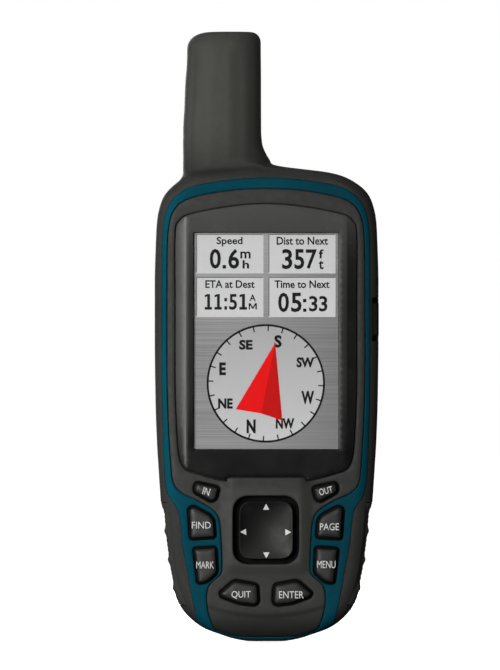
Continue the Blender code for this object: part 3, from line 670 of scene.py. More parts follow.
class Graph:
    """Builds the node tree of a material or a world."""

    SOCKETS = dict(color="Base Color", rough="Roughness", metallic="Metallic",
                   specular="Specular IOR Level", alpha="Alpha", normal="Normal",
                   glow_color="Emission Color", glow="Emission Strength")

    def __init__(self, owner):
        owner.use_nodes = True
        self.owner, self.nodes = owner, owner.node_tree.nodes
        self.coords = self.node("TexCoord").outputs

    def plug(self, value, socket):
        """Link a socket, or set a plain value."""
        if isinstance(value, bpy.types.NodeSocket):
            self.owner.node_tree.links.new(value, socket)
        else:
            socket.default_value = value

    def node(self, kind, inputs=None, **settings):
        node = self.nodes.new("ShaderNode" + kind)
        for name, value in settings.items():
            setattr(node, name, value)
        for key, value in (inputs or {}).items():
            self.plug(value, node.inputs[key])
        return node

    def surface(self, **values):
        """Set or link sockets of the Principled shader; returns the material."""
        shader = self.nodes["Principled BSDF"]
        for name, value in values.items():
            self.plug(value, shader.inputs[self.SOCKETS[name]])
        return self.owner

    def noise(self, scale, detail=2.0, rough=0.5, stretch=None):
        vector = self.coords["Object"]
        if stretch:
            mapping = self.node("Mapping", {"Scale": stretch, "Vector": vector})
            vector = mapping.outputs["Vector"]
        return self.node("TexNoise", {"Scale": scale, "Detail": detail, "Roughness": rough,
                                      "Vector": vector}).outputs["Fac"]

    def ramp(self, value, stops):
        node = self.node("ValToRGB", {"Fac": value})
        elements = node.color_ramp.elements
        while len(elements) < len(stops):
            elements.new(0.5)
        for element, (position, color) in zip(elements, stops):
            element.position, element.color = position, color
        return node.outputs["Color"]

    def remap(self, value, span, to=(0, 1), smooth=False):
        return self.node("MapRange", {
            "From Min": span[0], "From Max": span[1], "To Min": to[0], "To Max": to[1],
            "Value": value}, interpolation_type="SMOOTHSTEP" if smooth else "LINEAR",
        ).outputs["Result"]

    def math(self, operation, *terms):
        return self.node("Math", dict(enumerate(terms)), operation=operation).outputs["Value"]

    def mix(self, factor, first, second, blend="MIX"):
        # colour sockets of the Mix node: 0 factor, 6 and 7 in, 2 out
        return self.node("Mix", {0: factor, 6: first, 7: second}, data_type="RGBA",
                         blend_type=blend).outputs[2]

    def bump(self, height, strength, distance):
        return self.node("Bump", {"Strength": strength, "Distance": distance,
                                  "Height": height}).outputs["Normal"]

    def xyz(self, space="Object"):
        return self.node("SeparateXYZ", {"Vector": self.coords[space]}).outputs[:]


def new_look(name):
    return Graph(bpy.data.materials.new(name))


def painted_light_factor(look, sides, top=1.0, foot=1.0, left=None, low=None, pad=None):
    """Painted light and shade: a colour factor that varies over the body.

    sides: at the left and right flanks; top: on the mast; foot: at z = 0; left: extra at
    the left edge; low: below the screen; pad: round the rocker.
    """
    x, _, z = look.xyz()
    factor = look.remap(x, span=(-0.026, 0.026), to=sides)
    zones = [(z, (0.122, 0.134), (1.0, top)), (z, (0.0, 0.0115), (foot, 1.0))]
    if left:
        zones.append((x, (-0.026, -0.018), (left, 1.0)))
    if low:
        zones.append((z, (0.030, 0.050), (low, 1.0)))
    for place, span, levels in zones:
        factor = look.math("MULTIPLY", factor,
                           look.remap(place, span=span, to=levels, smooth=True))
    if pad:
        centre_z, half_size = 0.0292, 0.0087
        off = look.math("SUBTRACT", look.math("ABSOLUTE", x), half_size)
        above = look.math("SUBTRACT", z, centre_z)
        away = look.math("SUBTRACT", look.math("ABSOLUTE", above), half_size)
        ring = look.remap(look.math("MAXIMUM", off, away), span=(0.0, 0.0042),
                          to=(pad, 1.0), smooth=True)
        factor = look.math("MULTIPLY", factor, ring)
    return look.node("CombineXYZ", {0: factor, 1: factor, 2: factor}).outputs["Vector"]


def plastic(name, base, rough=0.5, grain=5200.0, depth=0.35, vary=0.10, wear=0.25,
            specular=0.5, tint=None, shade=None):
    """Moulded plastic or rubber: grain bump, faint mottling, lighter worn edges.

    grain: bump noise scale; depth: bump strength; vary: mottling; wear: edge lightening;
    tint: base of the lighter mottling; shade: arguments of painted_light_factor(), the
    light and shade painted into the colour.
    """
    look = new_look(name)
    broad = look.noise(scale=55.0, detail=3.0)
    middle = look.noise(scale=420.0)
    fine = look.noise(scale=grain, detail=2.5, rough=0.6)
    dark, light = rgb(base, 1 - vary), rgb(tint or base, 1 + vary)
    color = look.mix(look.remap(broad, span=(0.35, 0.65)), dark, light)
    color = look.mix(look.remap(middle, span=(0.3, 0.7), to=(0, 0.35)), color,
                     rgb(base, 1 - 1.2 * vary))
    color = look.mix(look.remap(fine, span=(0.40, 0.62), to=(0.0, 0.30)), color,
                     rgb(base, 1 + 2.0 * vary))
    if wear:
        point = look.node("NewGeometry").outputs["Pointiness"]
        ridge = look.remap(point, span=(0.515, 0.60))
        patches = look.remap(look.noise(scale=900.0, detail=3.0), span=(0.35, 0.6),
                             to=(0.25, 1))
        edge = look.math("MULTIPLY", ridge, patches)
        worn = rgb([min(255, value * 1.6 + 14) for value in base])
        color = look.mix(look.math("MULTIPLY", edge, wear), color, worn)
    # painted light and shade multiplied into the colour
    if shade:
        color = look.mix(1.0, color, painted_light_factor(look, **shade), "MULTIPLY")
    return look.surface(
        color=color,
        rough=look.remap(look.noise(scale=700.0, detail=3.0), span=(0.3, 0.7),
                         to=(rough - 0.08, rough + 0.08)),
        specular=specular, normal=look.bump(fine, strength=depth, distance=0.00004))


def metal(name, base, rough=0.3, stretch=(1, 1, 14), scale=900.0):
    """Metal with a directional brush, faint smudges and roughness changes."""
    look = new_look(name)
    brush = look.noise(scale=scale, detail=4.0, rough=0.6, stretch=stretch)
    cloud = look.noise(scale=120.0, detail=3.0)
    color = look.mix(look.remap(brush, span=(0.3, 0.7)), rgb(base, 0.82), rgb(base, 1.06))
    color = look.mix(look.remap(cloud, span=(0.4, 0.7), to=(0, 0.35)), color, rgb(base, 0.7))
    return look.surface(
        color=color, metallic=1.0,
        rough=look.remap(brush, span=(0.2, 0.8), to=(rough - 0.08, rough + 0.12)),
        normal=look.bump(brush, strength=0.15, distance=0.00003))


def board():
    """Green board with a net of traces and round pads."""
    look = new_look("board_green")
    net = look.node("TexVoronoi", {"Scale": 420, "Vector": look.coords["Object"]},
                    feature="DISTANCE_TO_EDGE", distance="CHEBYCHEV")
    trace = look.remap(net.outputs["Distance"], span=(0.02, 0.06), to=(1, 0))
    color = look.mix(trace, rgb((12, 78, 48)), rgb((44, 120, 74)))
    dots = look.node("TexVoronoi", {"Scale": 300, "Vector": look.coords["Object"]},
                     feature="F1")
    pad = look.remap(dots.outputs["Distance"], span=(0.10, 0.13), to=(1, 0))
    return look.surface(color=look.mix(pad, color, rgb((196, 160, 84))), rough=0.35,
                        normal=look.bump(trace, strength=0.3, distance=0.00003))


def cell_sleeve():
    """Printed sleeve of an AA cell: dark body, copper-coloured band, fine print lines."""
    look = new_look("cell_sleeve")
    _, _, z = look.xyz()
    wave = look.node("TexWave", {"Scale": 190, "Distortion": 0.0,
                                 "Vector": look.coords["Object"]},
                     wave_type="BANDS", bands_direction="Z")
    color = look.mix(look.remap(wave.outputs["Fac"], span=(0.88, 0.95), to=(0, 0.6)),
                     rgb((44, 46, 52)), rgb((150, 152, 156)))
    color = look.mix(look.remap(z, span=(0.0592, 0.0594)), color, rgb((178, 122, 70)))
    smudge = look.remap(look.noise(scale=300, detail=3), span=(0.35, 0.65), to=(0, 0.25))
    return look.surface(
        color=look.mix(smudge, color, rgb((24, 24, 26))),
        rough=look.remap(look.noise(scale=700), span=(0.3, 0.7), to=(0.2, 0.34)),
        metallic=0.35,
        normal=look.bump(look.noise(scale=1500), strength=0.1, distance=0.00002))


def window_border():
    """Dark gloss with faint smears and painted light: lighter at the top and left, darker
    right.
    """
    look = new_look("window_border")
    x, _, z = look.xyz()
    # painted light and shade: darker towards the bottom, lighter towards the top
    color = look.ramp(look.remap(z, span=(0.043, 0.114)), [
        (0.0, rgb((10, 10, 11))), (0.10, grey(17)), (0.30, rgb((40, 40, 39))),
        (0.70, rgb((48, 48, 46))), (1.0, rgb((72, 72, 70)))])
    # painted highlight along the left fold, fading downwards
    left = look.math("MULTIPLY", look.remap(x, span=(-0.0214, -0.0210), to=(1, 0)),
                     look.remap(z, span=(0.046, 0.070), to=(0.15, 1)))
    left_highlight_strength, right_shade_strength = 0.85, 0.75
    color = look.mix(look.math("MULTIPLY", left, left_highlight_strength), color, rgb((86, 86, 85)))
    # painted shade along the right fold, fading near the top
    right = look.math("MULTIPLY", look.remap(x, span=(0.0210, 0.0214)),
                      look.remap(z, span=(0.100, 0.111), to=(1, 0.2)))
    color = look.mix(look.math("MULTIPLY", right, right_shade_strength), color, grey(20))
    smear = look.remap(look.noise(scale=160, detail=3), span=(0.35, 0.65), to=(0, 0.12))
    return look.surface(
        color=look.mix(smear, color, rgb((58, 58, 57))),
        rough=look.remap(look.noise(scale=90, detail=3), span=(0.3, 0.7), to=(0.20, 0.28)),
        specular=0.12,
        normal=look.bump(look.noise(scale=260), strength=0.05, distance=0.00002))


def window_clear():
    look = new_look("window_clear")
    material = look.surface(
        color=look.mix(look.noise(scale=120, detail=3), rgb((12, 12, 13)), rgb((20, 20, 21))),
        rough=look.remap(look.noise(scale=90, detail=3), span=(0.3, 0.7), to=(0.22, 0.32)),
        specular=0.2, alpha=0.03)
    material.surface_render_method = "BLENDED"
    return material


def lcd_background():
    """Grey, darkest a little below the middle, with painted shade towards the right, finely
    lined.
    """
    look = new_look("lcd_background")
    x, _, z = look.xyz()
    color = look.ramp(look.remap(z, span=(0.0504, 0.107)), [
        (0.0, grey(158)), (0.45, grey(142)), (0.62, grey(150)), (1.0, grey(166))])
    lines = look.noise(scale=1.0, detail=1.5, rough=0.6, stretch=(26, 5, 3300))
    color = look.mix(look.remap(lines, span=(0.38, 0.62), to=(0, 0.55)), color, grey(180))
    fine = look.noise(scale=1.0, detail=1.0, stretch=(9, 5, 6200))
    color = look.mix(look.remap(fine, span=(0.4, 0.6), to=(0.0, 0.30)), color, grey(122))
    # painted shade: darker towards the right
    color = look.mix(look.remap(x, span=(0.0, 0.019), to=(0.0, 0.32)), color, grey(108))
    return look.surface(color=color, rough=0.5, specular=0.08,
                        normal=look.bump(lines, strength=0.05, distance=0.00001))


def lcd_field(name, grain, span, levels, fleck):
    """Light display area: grey levels up the span of z, flecked with another grey."""
    look = new_look(name)
    _, _, z = look.xyz()
    specks = look.noise(scale=1.0, rough=0.6, stretch=(grain, 10, grain))
    color = look.ramp(look.remap(z, span=span),
                      [(position, grey(level)) for position, level in levels])
    color = look.mix(look.remap(specks, span=(0.35, 0.65), to=(0, 0.4)), color, grey(fleck))
    return look.surface(color=color, rough=0.5, specular=0.08,
                        normal=look.bump(specks, strength=0.03, distance=0.00001))


def flat_ink(name, first, second, rough=0.5):
    look = new_look(name)
    return look.surface(
        color=look.mix(look.remap(look.noise(scale=1800), span=(0.3, 0.7)),
                       rgb(first), rgb(second)),
        rough=look.remap(look.noise(scale=900), span=(0.3, 0.7),
                         to=(rough - 0.05, rough + 0.05)),
        specular=0.08,
        normal=look.bump(look.noise(scale=2600), strength=0.05, distance=0.00001))


def rocker_grey():
    """Dished cap, painted shade deepening towards the upper left of the dish."""
    look = new_look("rocker_grey")
    x, _, z = look.xyz()
    # painted shade at the upper left, painted light at the lower right
    shade_slant = look.math("SUBTRACT", look.remap(x, span=(-0.007, 0.007), to=(0.0, 0.5)),
                      look.remap(z, span=(0.0217, 0.0367), to=(0.0, 0.5)))
    middle = 0.5
    color = look.ramp(look.math("ADD", shade_slant, middle), [
        (0.0, grey(3)), (0.22, grey(9)), (0.5, rgb((26, 26, 25))),
        (0.78, rgb((42, 42, 40))), (1.0, rgb((47, 47, 45)))])
    fine = look.noise(scale=7000, detail=2.5, rough=0.6)
    color = look.mix(look.remap(fine, span=(0.4, 0.62), to=(0.0, 0.10)), color,
                     rgb((52, 52, 50)))
    return look.surface(
        color=color,
        rough=look.remap(look.noise(scale=700, detail=3), span=(0.3, 0.7), to=(0.40, 0.52)),
        specular=0.15, normal=look.bump(fine, strength=0.1, distance=0.00004))


# shade paints light into these colours: lighter at the left, darker at the right, the foot
# and below the screen, lighter on the mast and round the rocker
GREY = plastic("soft_grey", (50, 50, 47), rough=0.70, depth=0.30, vary=0.07, wear=0.10,
               specular=0.24, shade=dict(sides=(1.08, 0.74), top=1.74, foot=0.55, low=0.82))
PLATE = plastic("plate_grey", (49, 49, 46), rough=0.58, depth=0.25, vary=0.06, wear=0.08,
                specular=0.22, shade=dict(sides=(1.04, 0.66), foot=0.40, pad=1.50))
TEAL = plastic("trim_teal", (0, 59, 72), rough=0.66, depth=0.22, vary=0.07, wear=0.03,
               tint=(0, 62, 75), specular=0.05, shade=dict(sides=(1.22, 0.88), left=1.22))
KEYCAP = plastic("key_grey", (41, 41, 40), rough=0.48, grain=7000, depth=0.10, vary=0.05,
                 wear=0.15, specular=0.25, shade=dict(sides=(1.25, 0.50)))
RUBBER = plastic("rubber_black", (40, 40, 39), rough=0.72, grain=4200, depth=0.45,
                 wear=0.15, specular=0.35)
GRIP = plastic("grip_rubber", (56, 56, 52), rough=0.74, grain=3600, depth=0.45, vary=0.08,
               wear=0.10, specular=0.25)
NYLON = plastic("hard_nylon", (36, 36, 36), rough=0.42, grain=4600, depth=0.25, vary=0.08,
                wear=0.35)
SEAL = plastic("seal_red", (120, 40, 30), rough=0.6, grain=3800, depth=0.25, wear=0.0)
# near black standing in for the deep shade in the key gaps and the rocker's moat
SHADOW_BLACK = plastic("shadow_black", (3, 3, 3), rough=0.6, grain=5000, depth=0.2, vary=0.2,
                   wear=0.0, specular=0.06)
STEEL = metal("steel", (176, 178, 180), rough=0.26)
TIN = metal("tin_plate", (190, 192, 188), rough=0.34, stretch=(1, 6, 1), scale=600)
GOLD = metal("gold_plate", (212, 168, 84), rough=0.24)
COPPER = metal("copper_strip", (196, 124, 74), rough=0.30, stretch=(2, 2, 2), scale=700)
BOARD = board()
AMBER = plastic("flex_amber", (190, 112, 30), rough=0.3, grain=2600, depth=0.1, vary=0.15,
                wear=0)
IVORY = plastic("core_ivory", (206, 201, 184), grain=3200, depth=0.2, vary=0.05, wear=0.1)
FILM = plastic("dome_film", (200, 200, 195), rough=0.25, grain=2400, depth=0.1, vary=0.05,
               wear=0)
GUIDE = plastic("light_guide", (226, 228, 230), rough=0.3, grain=2600, depth=0.15,
                vary=0.03, wear=0)
CELL = cell_sleeve()
BORDER, CLEAR, LCD_BACK = window_border(), window_clear(), lcd_background()
LCD_LIGHT = lcd_field("lcd_light", grain=2600, span=(0.084, 0.108),
                      levels=[(0, 223), (1, 219)], fleck=211)
LCD_DIAL = lcd_field("lcd_dial", grain=2400, span=(0.052, 0.083),
                     levels=[(0, 219), (0.5, 200), (1, 178)], fleck=198)
LCD_INK = flat_ink("lcd_ink", (20, 20, 20), (26, 26, 26))
LCD_SHADE = flat_ink("lcd_shade", (108, 108, 108), (118, 118, 118))
LCD_EDGE = flat_ink("lcd_edge", (224, 224, 224), (214, 214, 214))
RED_LIGHT = flat_ink("needle_light", (252, 8, 12), (248, 6, 10))
RED_DARK = flat_ink("needle_dark", (212, 6, 6), (206, 4, 4))
LEGEND = flat_ink("legend_white", (222, 222, 220), (206, 206, 204), rough=0.55)
PRINT_GREY = flat_ink("print_grey", (128, 128, 124), (142, 142, 138), rough=0.55)
ROCKER = rocker_grey()


# ------------------------------------------------------------- outer housing
def dome(part, power=2.35):
    part = min(1.0, max(0.0, part))
    return 1 - (1 - part ** power) ** (1 / power)


def mast_relief(point, left):
    """Lean of the mast's root and the two upright creases down its front."""
    x, y, z = point
    if y > 1 or z < 120:
        return point
    front = float(1 - ease(-3.5, 0.5, y))
    root = ease(121.4, 123.2, z) * (1 - ease(125.2, 128.5, z)) * (1 - ease(-3.5, 0.5, x))
    lean = 0.070 * (min(x, -2.0) + 12) * float(root)
    fade = front * float(ease(124.0, 128.5, z) * (1 - ease(152.5, 157.5, z)))
    left_cut = 0.34 * float(np.exp(-((x - left - 1.9) / 0.62) ** 2))
    right_step = 0.50 * float(ease(-10.2, -6.9, x))
    right_step -= 0.16 * float(np.exp(-((x + 5.3) / 1.1) ** 2))
    to_x, to_y = MAST_X - x, MAST_Y - y
    pull = fade * left_cut / hypot(to_x, to_y)
    return (x + to_x * pull, y + to_y * pull + fade * right_step, z + lean * front)


def body_mesh():
    """Skin lofted through the sections, closed flat at both ends."""
    heights = [0, 0.12, 0.35, 0.65, 1.0, 1.4, 1.9, 2.5, 3.2, 4.0, 4.9, 5.9, 7.0, 8.2, 9.5,
               10.9, 12.4, 14.0, 15.7, 17.5, 19.4]
    for span in ((21.5, 112.1, 2.1), (112.6, 119.0, 0.8), (119.4, 128.1, 0.3),
                 (128.6, 134.0, 0.6), (135.0, 153.6, 1.5)):
        heights += list(np.arange(*span))
    heights.append(154.4)
    rows = []

    def add_row(z, left, *sides):
        rows.append([mast_relief((x, y, float(z)), left)
                     for x, y in section_loop(left, *sides)])

    for z in heights:
        add_row(z, *(float(value) for value in section(float(z))))
    # mast end: wide round shoulder on the left, tighter one on the right
    ends = list(np.arange(154.9, 156.7, 0.45))
    ends += [156.6 + 3.4 * sin(pi / 2 * k / 14) for k in range(1, 15)]
    for z in ends:
        left, right, front, back, front_radius, back_radius = (
            float(value) for value in section(min(z, MAST_TOP)))
        from_left = 7.0 * dome((z - 155.2) / 4.8)
        from_right = 3.1 * dome((z - 156.8) / 3.2)
        deep = 4.2 * dome((z - 155.2) / 4.8)
        tighten = 1 - deep / 4.2 * 0.35
        shape = section_loop(left + from_left, right - from_right, front + deep,
                             back - deep, front_radius * tighten, back_radius * tighten)
        rows.append([mast_relief((x, y, float(z)), left) for x, y in shape])
    count = len(rows[0])
    verts = [point for row in rows for point in row]
    faces = []
    for i in range(len(rows) - 1):
        for j in range(count):
            here, there = i * count + j, i * count + (j + 1) % count
            faces.append([here, there, there + count, here + count])

    def cap(row, z, flip):
        """Flat end made of rings shrinking to a centre point."""
        middle = [sum(point[i] for point in rows[row]) / count for i in (0, 1)]
        last = [row * count + j for j in range(count)]
        turn = -1 if flip else 1
        for scale in (0.86, 0.68, 0.46, 0.22):
            start = len(verts)
            for point in rows[row]:
                verts.append((middle[0] + (point[0] - middle[0]) * scale,
                              middle[1] + (point[1] - middle[1]) * scale, z))
            ring = list(range(start, start + count))
            for j in range(count):
                k = (j + 1) % count
                faces.append([last[j], last[k], ring[k], ring[j]][::turn])
            last = ring
        verts.append((*middle, z))
        for j in range(count):
            faces.append([last[j], last[(j + 1) % count], len(verts) - 1][::turn])

    cap(0, 0.0, True)
    cap(len(rows) - 1, 160.0, False)
    return clean(new_mesh("body", verts, faces))


def flank(side, z, extra):
    """(x, y, outward x, outward y) along one flank at height z, front to back.

    extra is how many degrees further it reaches round the front and back corners.
    """
    left, right, front, back, front_radius, back_radius = (
        float(value) for value in section(z))
    half, depth, middle = (right - left) / 2, back - front, (left + right) / 2
    fore_x, fore_y = corner_radii(front_radius, half, depth)
    rear_x, rear_y = corner_radii(back_radius, half, depth)
    path = []
    for k in range(15):
        turn = radians((52 + extra) * (1 - k / 14))
        path.append((middle + side * (half - fore_x + fore_x * cos(turn)),
                     front + fore_y - fore_y * sin(turn), side * cos(turn), -sin(turn)))
    for k in range(1, 9):
        y = front + fore_y + (back - rear_y - front - fore_y) * k / 9
        path.append((middle + side * half, y, float(side), 0.0))
    for k in range(9):
        turn = radians((40 + extra) * k / 8)
        path.append((middle + side * (half - rear_x + rear_x * cos(turn)),
                     back - rear_y + rear_y * sin(turn), side * cos(turn), sin(turn)))
    return path


def patch(side, low, high, outer, inner, rows, extra=0.0):
    """Closed slab along the flank; outer(z, part) and the number inner are offsets."""
    outside, within_skin = [], []
    for i in range(rows + 1):
        z = low + (high - low) * i / rows
        path = flank(side, z, extra)
        width = len(path)
        for j, (x, y, out_x, out_y) in enumerate(path):
            offset = outer(z, j / (width - 1))
            outside.append((x + out_x * offset, y + out_y * offset, z))
            within_skin.append((x + out_x * inner, y + out_y * inner, z))
    half = len(outside)
    faces = []
    for i in range(rows):
        first = i * width
        for j in range(first, first + width - 1):
            faces.append([j, j + 1, j + 1 + width, j + width])
            faces.append([half + j, half + j + width, half + j + 1 + width, half + j + 1])
        for j in (first, first + width - 1):
            faces.append([j, j + width, half + j + width, half + j])
    for k in range(width - 1):
        for j in (k, rows * width + k):
            faces.append([j, j + 1, half + j + 1, half + j])
    return clean(new_mesh("patch", outside + within_skin, faces))


# front recess, inner spaces, mast bore
cuts = less(
    prism(resample(inset(TRIM_OUT, -0.04), 0.5), -20, Y_LEDGE),
    prism(inset(LEDGE, 1.0), Y_LEDGE - 0.5, Y_PARTITION),
    prism(rect(-26.2, 26.2, 78.8, 111.0, 0.4, 1), Y_PARTITION - 0.5, 11.2),
    prism(rect(-20.0, 20.0, 108.0, 117.5, 2.0), Y_PARTITION - 0.5, 9.4),
    turned([(0, 157.4), (5.6, 157.4), (7.3, 155.2), (7.5, 150), (7.5, 113), (0, 113)],
           (MAST_X, MAST_Y)))
cuts += plus(*(rod(3.6, Y_PARTITION, 12.0, at, count=32) for at in BOSSES[:2]))
# door seat, battery bay, latch hole
cuts += less(
    bevelled(prism(inset(DOOR, -0.3), Y_SEAT, Y_BACK + 3), 0.2, 2),
    prism(rect(-BAY_HALF, BAY_HALF, BAY_LOW, BAY_HIGH, 0.8, 4), Y_BAY, Y_BACK + 1),
    rod(7.4, 4.0, Y_BACK + 1, (0, LATCH_Z - 0.6), count=64))
for at in BOSSES:
    cuts += less(rod(2.3, -1.9, Y_BACK + 1, at, count=40),
                 rod(1.35, Y_PARTITION - 3, 0, at, count=24))
# openings and recesses of the two rubber caps, power key opening
cuts += less(
    prism(rect(-4.9, 4.9, 82.8, 88.4, 1.2), 9, Y_BACK + 1),
    prism(rect(-8.6, 8.6, 81.2, 90.0, 1.8), Y_BACK - 1.2, Y_BACK + 1),
    rod(3.1, 7.0, Y_BACK + 1, (9.0, 114.2), count=40),
    prism(rect(2.6, 14.4, 110.4, 118.0, 1.8), Y_BACK - 1.2, Y_BACK + 1),
    prism(rect(-8.4, -2.8, 79.6, 89.2, 1.4), 24, 31, "X"))
# scoop round the front edge to the power key: (x, y) floor, shallow at both ends
SCOOP_END = [(27.7, -11.9), (28.1, -10.2), (28.1, -8.3)]
SCOOP_MIDDLE = [(27.78, -13.25), (28.3, -12.65), (28.7, -11.95), (28.98, -10.9),
                (28.98, -8.3)]
for low, high, scoop_floor in ((78.7, 80.3, SCOOP_END), (80.2, 88.7, SCOOP_MIDDLE),
                               (88.6, 90.2, SCOOP_END)):
    cuts += less(slab([(27.66, -17.0), (27.66, -13.6)] + scoop_floor
                      + [(31.5, -8.3), (31.5, -17.0)], low, high))
# seats of the side grips
cuts += less(*(patch(side, 9.4, 36.5, lambda z, part: 1.5, -1.45, rows=60, extra=1.5)
               for side in (-1, 1)))
piece("outer_housing_shell", boolean(body_mesh(), cuts), [GREY], "outer_housing", sharp=40)


# ---------------------------------------------------------- front plate, trim
def plateau(x, z):
    """Raised pad round the rocker, fading out, and a small step near the foot."""
    across = np.maximum(np.abs(x) - 8.9, 0)
    beyond = np.maximum(np.maximum(20.6 - z, z - 47.0), 0)
    pad = 0.80 * (1 - ease(-0.6, 3.6, np.sqrt(across * across + beyond * beyond)))
    crease = 6.7 + 2.3 * (x / 14.4) ** 2
    return pad + 0.30 * ease(-0.7, 0.5, z - crease)


def plate_top(x, z):
    return skin_y(x, z) - plateau(x, z) + 0.30


def trim_top(x, z):
    return skin_y(x, z) - 0.04


def skin_back(y):
    """Back of a thin plate that wraps down over the foot."""
    return np.minimum(np.maximum(Y_STEP, y + 0.45), Y_LEDGE - 0.04)


plate_face = plate(
    inset(TRIM_IN, 0.14),
    [inset(WINDOW, -0.08), ROCKER_WELL]
    + [hole for name, hole in KEY_HOLES.items() if name not in TRIM_KEYS],
    plate_top, skin_back, step=1.0, edge=0.20, hole_edge=0.34, fine=(-16, 16, 1.5, 43, 0.55))
flange_cuts = less(prism(rect(-21.4, 21.4, 46.0, 110.0, 2.5), -20, -10),
                   prism(ROCKER_WELL, -20, -10),
                   *(prism(hole, -20, -10) for hole in KEY_HOLES.values()))
for at in BOSSES:
    flange_cuts += plus(rod(2.2, Y_PLATE_BACK - 0.4, -7.4, at, count=28))
    flange_cuts += less(rod(1.3, -12.6, -7.0, at, count=20))
flange = boolean(prism(inset(LEDGE, 0.2), Y_STEP, Y_PLATE_BACK), flange_cuts)
piece("front_plate_shell", merge(plate_face, flange), [PLATE], "front_plate")

trim_mesh = plate(inset(TRIM_OUT, 0.03), [TRIM_IN] + [KEY_HOLES[name] for name in TRIM_KEYS],
                  trim_top, skin_back, edge=0.18, hole_edge=0.34, loop_step=0.35)
piece("accent_trim_band", trim_mesh, [TEAL], "accent_trim", sharp=40)


# ------------------------------------------------------------- display window
def window_top(x, z):
    return -15.0 + np.clip(np.abs(x) - 21.1, 0, 3) * 0.30


def upright(x, low, high, count=60):
    return [(x, low + (high - low) * i / count) for i in range(count + 1)]


OPENING = (-19.1, 19.15, 50.25, 107.15)
folds = [upright(side * x, 46.6, 110.1) for side in (-1, 1) for x in (21.0, 21.25)]
border_mesh = plate(inset(WINDOW, 0.12), [rect(*OPENING)], window_top, -13.8, step=1.2,
                    edge=0.14, hole_edge=0.02, lines=folds)
piece("display_window_border", border_mesh, [BORDER], "display_window", sharp=30)
left, right, low, high = OPENING
pane = prism(rect(left + 0.01, right - 0.01, low + 0.01, high - 0.01), -14.98, -14.2)
piece("display_window_pane", bevelled(pane, 0.05, 2), [CLEAR], "display_window", sharp=30)


# ---------------------------------------------------------------- the display
def printed(loop, proud, back=-0.005):
    """Thin print standing proud of the screen, reaching to back behind its face."""
    return prism(loop, Y_SCREEN - proud, Y_SCREEN + back)


def lettering(words, box, weight):
    return text_mesh(words, *box, y=Y_SCREEN - 0.05, thick=0.045, weight=weight)


def glyph(outline, left, right, low, high):
    """Outline in the unit square stretched over a box."""
    return printed([(left + x * (right - left), low + z * (high - low))
                    for x, z in outline], 0.05)


screen = bevelled(prism(rect(-18.95, 19.0, 50.4, 107.0, 0.25, 3), Y_SCREEN, -11.6), 0.06, 2)
carrier = bevelled(prism(rect(-20.2, 20.2, 48.2, 109.2, 0.4, 3), -11.5, -9.5), 0.15, 2)
piece("lcd_panel_module", merge(tag(screen, 0), tag(carrier, 1)), [LCD_BACK, NYLON],
      "lcd_panel", sharp=30)

# four data fields with a shade above and left, a light edge below and right
parts = []
for low, high in ((96.679, 106.522), (85.260, 95.261)):
    for left, right in ((-18.086, -0.918), (0.893, 17.982)):
        for slot, proud, box in (
                (0, 0.020, (left, right, low, high)),
                (1, 0.018, (left - 0.12, right + 0.12, high, high + 0.22)),
                (1, 0.018, (left - 0.22, left, low, high + 0.2)),
                (2, 0.018, (left - 0.22, right + 0.22, low - 0.26, low)),
                (2, 0.016, (right, right + 0.24, low - 0.1, high + 0.1))):
            parts.append(tag(printed(rect(*box), proud, 0.02), slot))
piece("lcd_data_fields", merge(*parts), [LCD_LIGHT, LCD_SHADE, LCD_EDGE], "lcd_panel",
      sharp=30)

# compass dial: face, ring, 24 ticks, letters with their boxes (left, right, low, high)
DIAL_X, DIAL_Z, DIAL_RADIUS = -0.052, 67.619, 15.25
DIAL_LETTERS = [
    ("S", (2.153, 4.122, 76.991, 80.298)), ("SE", (-7.061, -3.517, 76.440, 79.038)),
    ("E", (-12.259, -10.526, 69.746, 73.132)), ("NE", (-12.574, -8.715, 61.004, 63.682)),
    ("N", (-5.092, -2.730, 54.547, 58.169)), ("NW", (2.547, 7.429, 55.728, 58.484)),
    ("W", (9.240, 12.627, 62.186, 65.651)), ("SW", (7.980, 12.627, 71.793, 74.471))]
ring = boolean(printed(circle(DIAL_X, DIAL_Z, DIAL_RADIUS + 0.27), 0.045),
               less(printed(circle(DIAL_X, DIAL_Z, DIAL_RADIUS - 0.27), 0.1, 0.1)))
parts = [tag(printed(circle(DIAL_X, DIAL_Z, DIAL_RADIUS), 0.02, 0.02), 0), tag(ring, 1)]
for k in range(24):
    turn = radians(2.4 + 15 * k)
    tick = [(DIAL_X + sin(turn) * radius + cos(turn) * offset,
             DIAL_Z + cos(turn) * radius - sin(turn) * offset)
            for radius, offset in ((DIAL_RADIUS - 0.1, -0.17), (DIAL_RADIUS - 0.1, 0.17),
                                   (DIAL_RADIUS - 1.5, 0.17), (DIAL_RADIUS - 1.5, -0.17))]
    parts.append(tag(printed(tick, 0.045), 1))
parts += [tag(lettering(words, box, 0.046), 1) for words, box in DIAL_LETTERS]
piece("lcd_compass_dial", merge(*parts), [LCD_DIAL, LCD_INK], "lcd_panel", sharp=30)

# readings: a figure one with flag and foot, a capital M, dots, then plain text
ONE = [(0, 0), (1, 0), (1, .17), (.73, .17), (.73, 1), (.40, 1), (.02, .93), (.02, .78),
       (.34, .845), (.34, .17), (0, .17)]
CAPITAL_M = [(0, 0), (.17, 0), (.17, .68), (.42, .12), (.58, .12), (.83, .68), (.83, 0),
             (1, 0), (1, 1), (.78, 1), (.5, .38), (.22, 1), (0, 1)]
DOTS = [(-10.921, -10.223, 89.107, 90.030), (-10.921, -10.223, 86.860 + 1.0, 87.860 + 0.0)]
DOTS = [(-10.921, -10.223, 89.107, 90.030), (-10.921, -10.223, 86.937, 87.860),
        (-11.395, -10.473, 97.712, 98.635), (9.713, 10.579, 88.882, 89.748),
        (9.713, 10.579, 86.362, 87.228)]
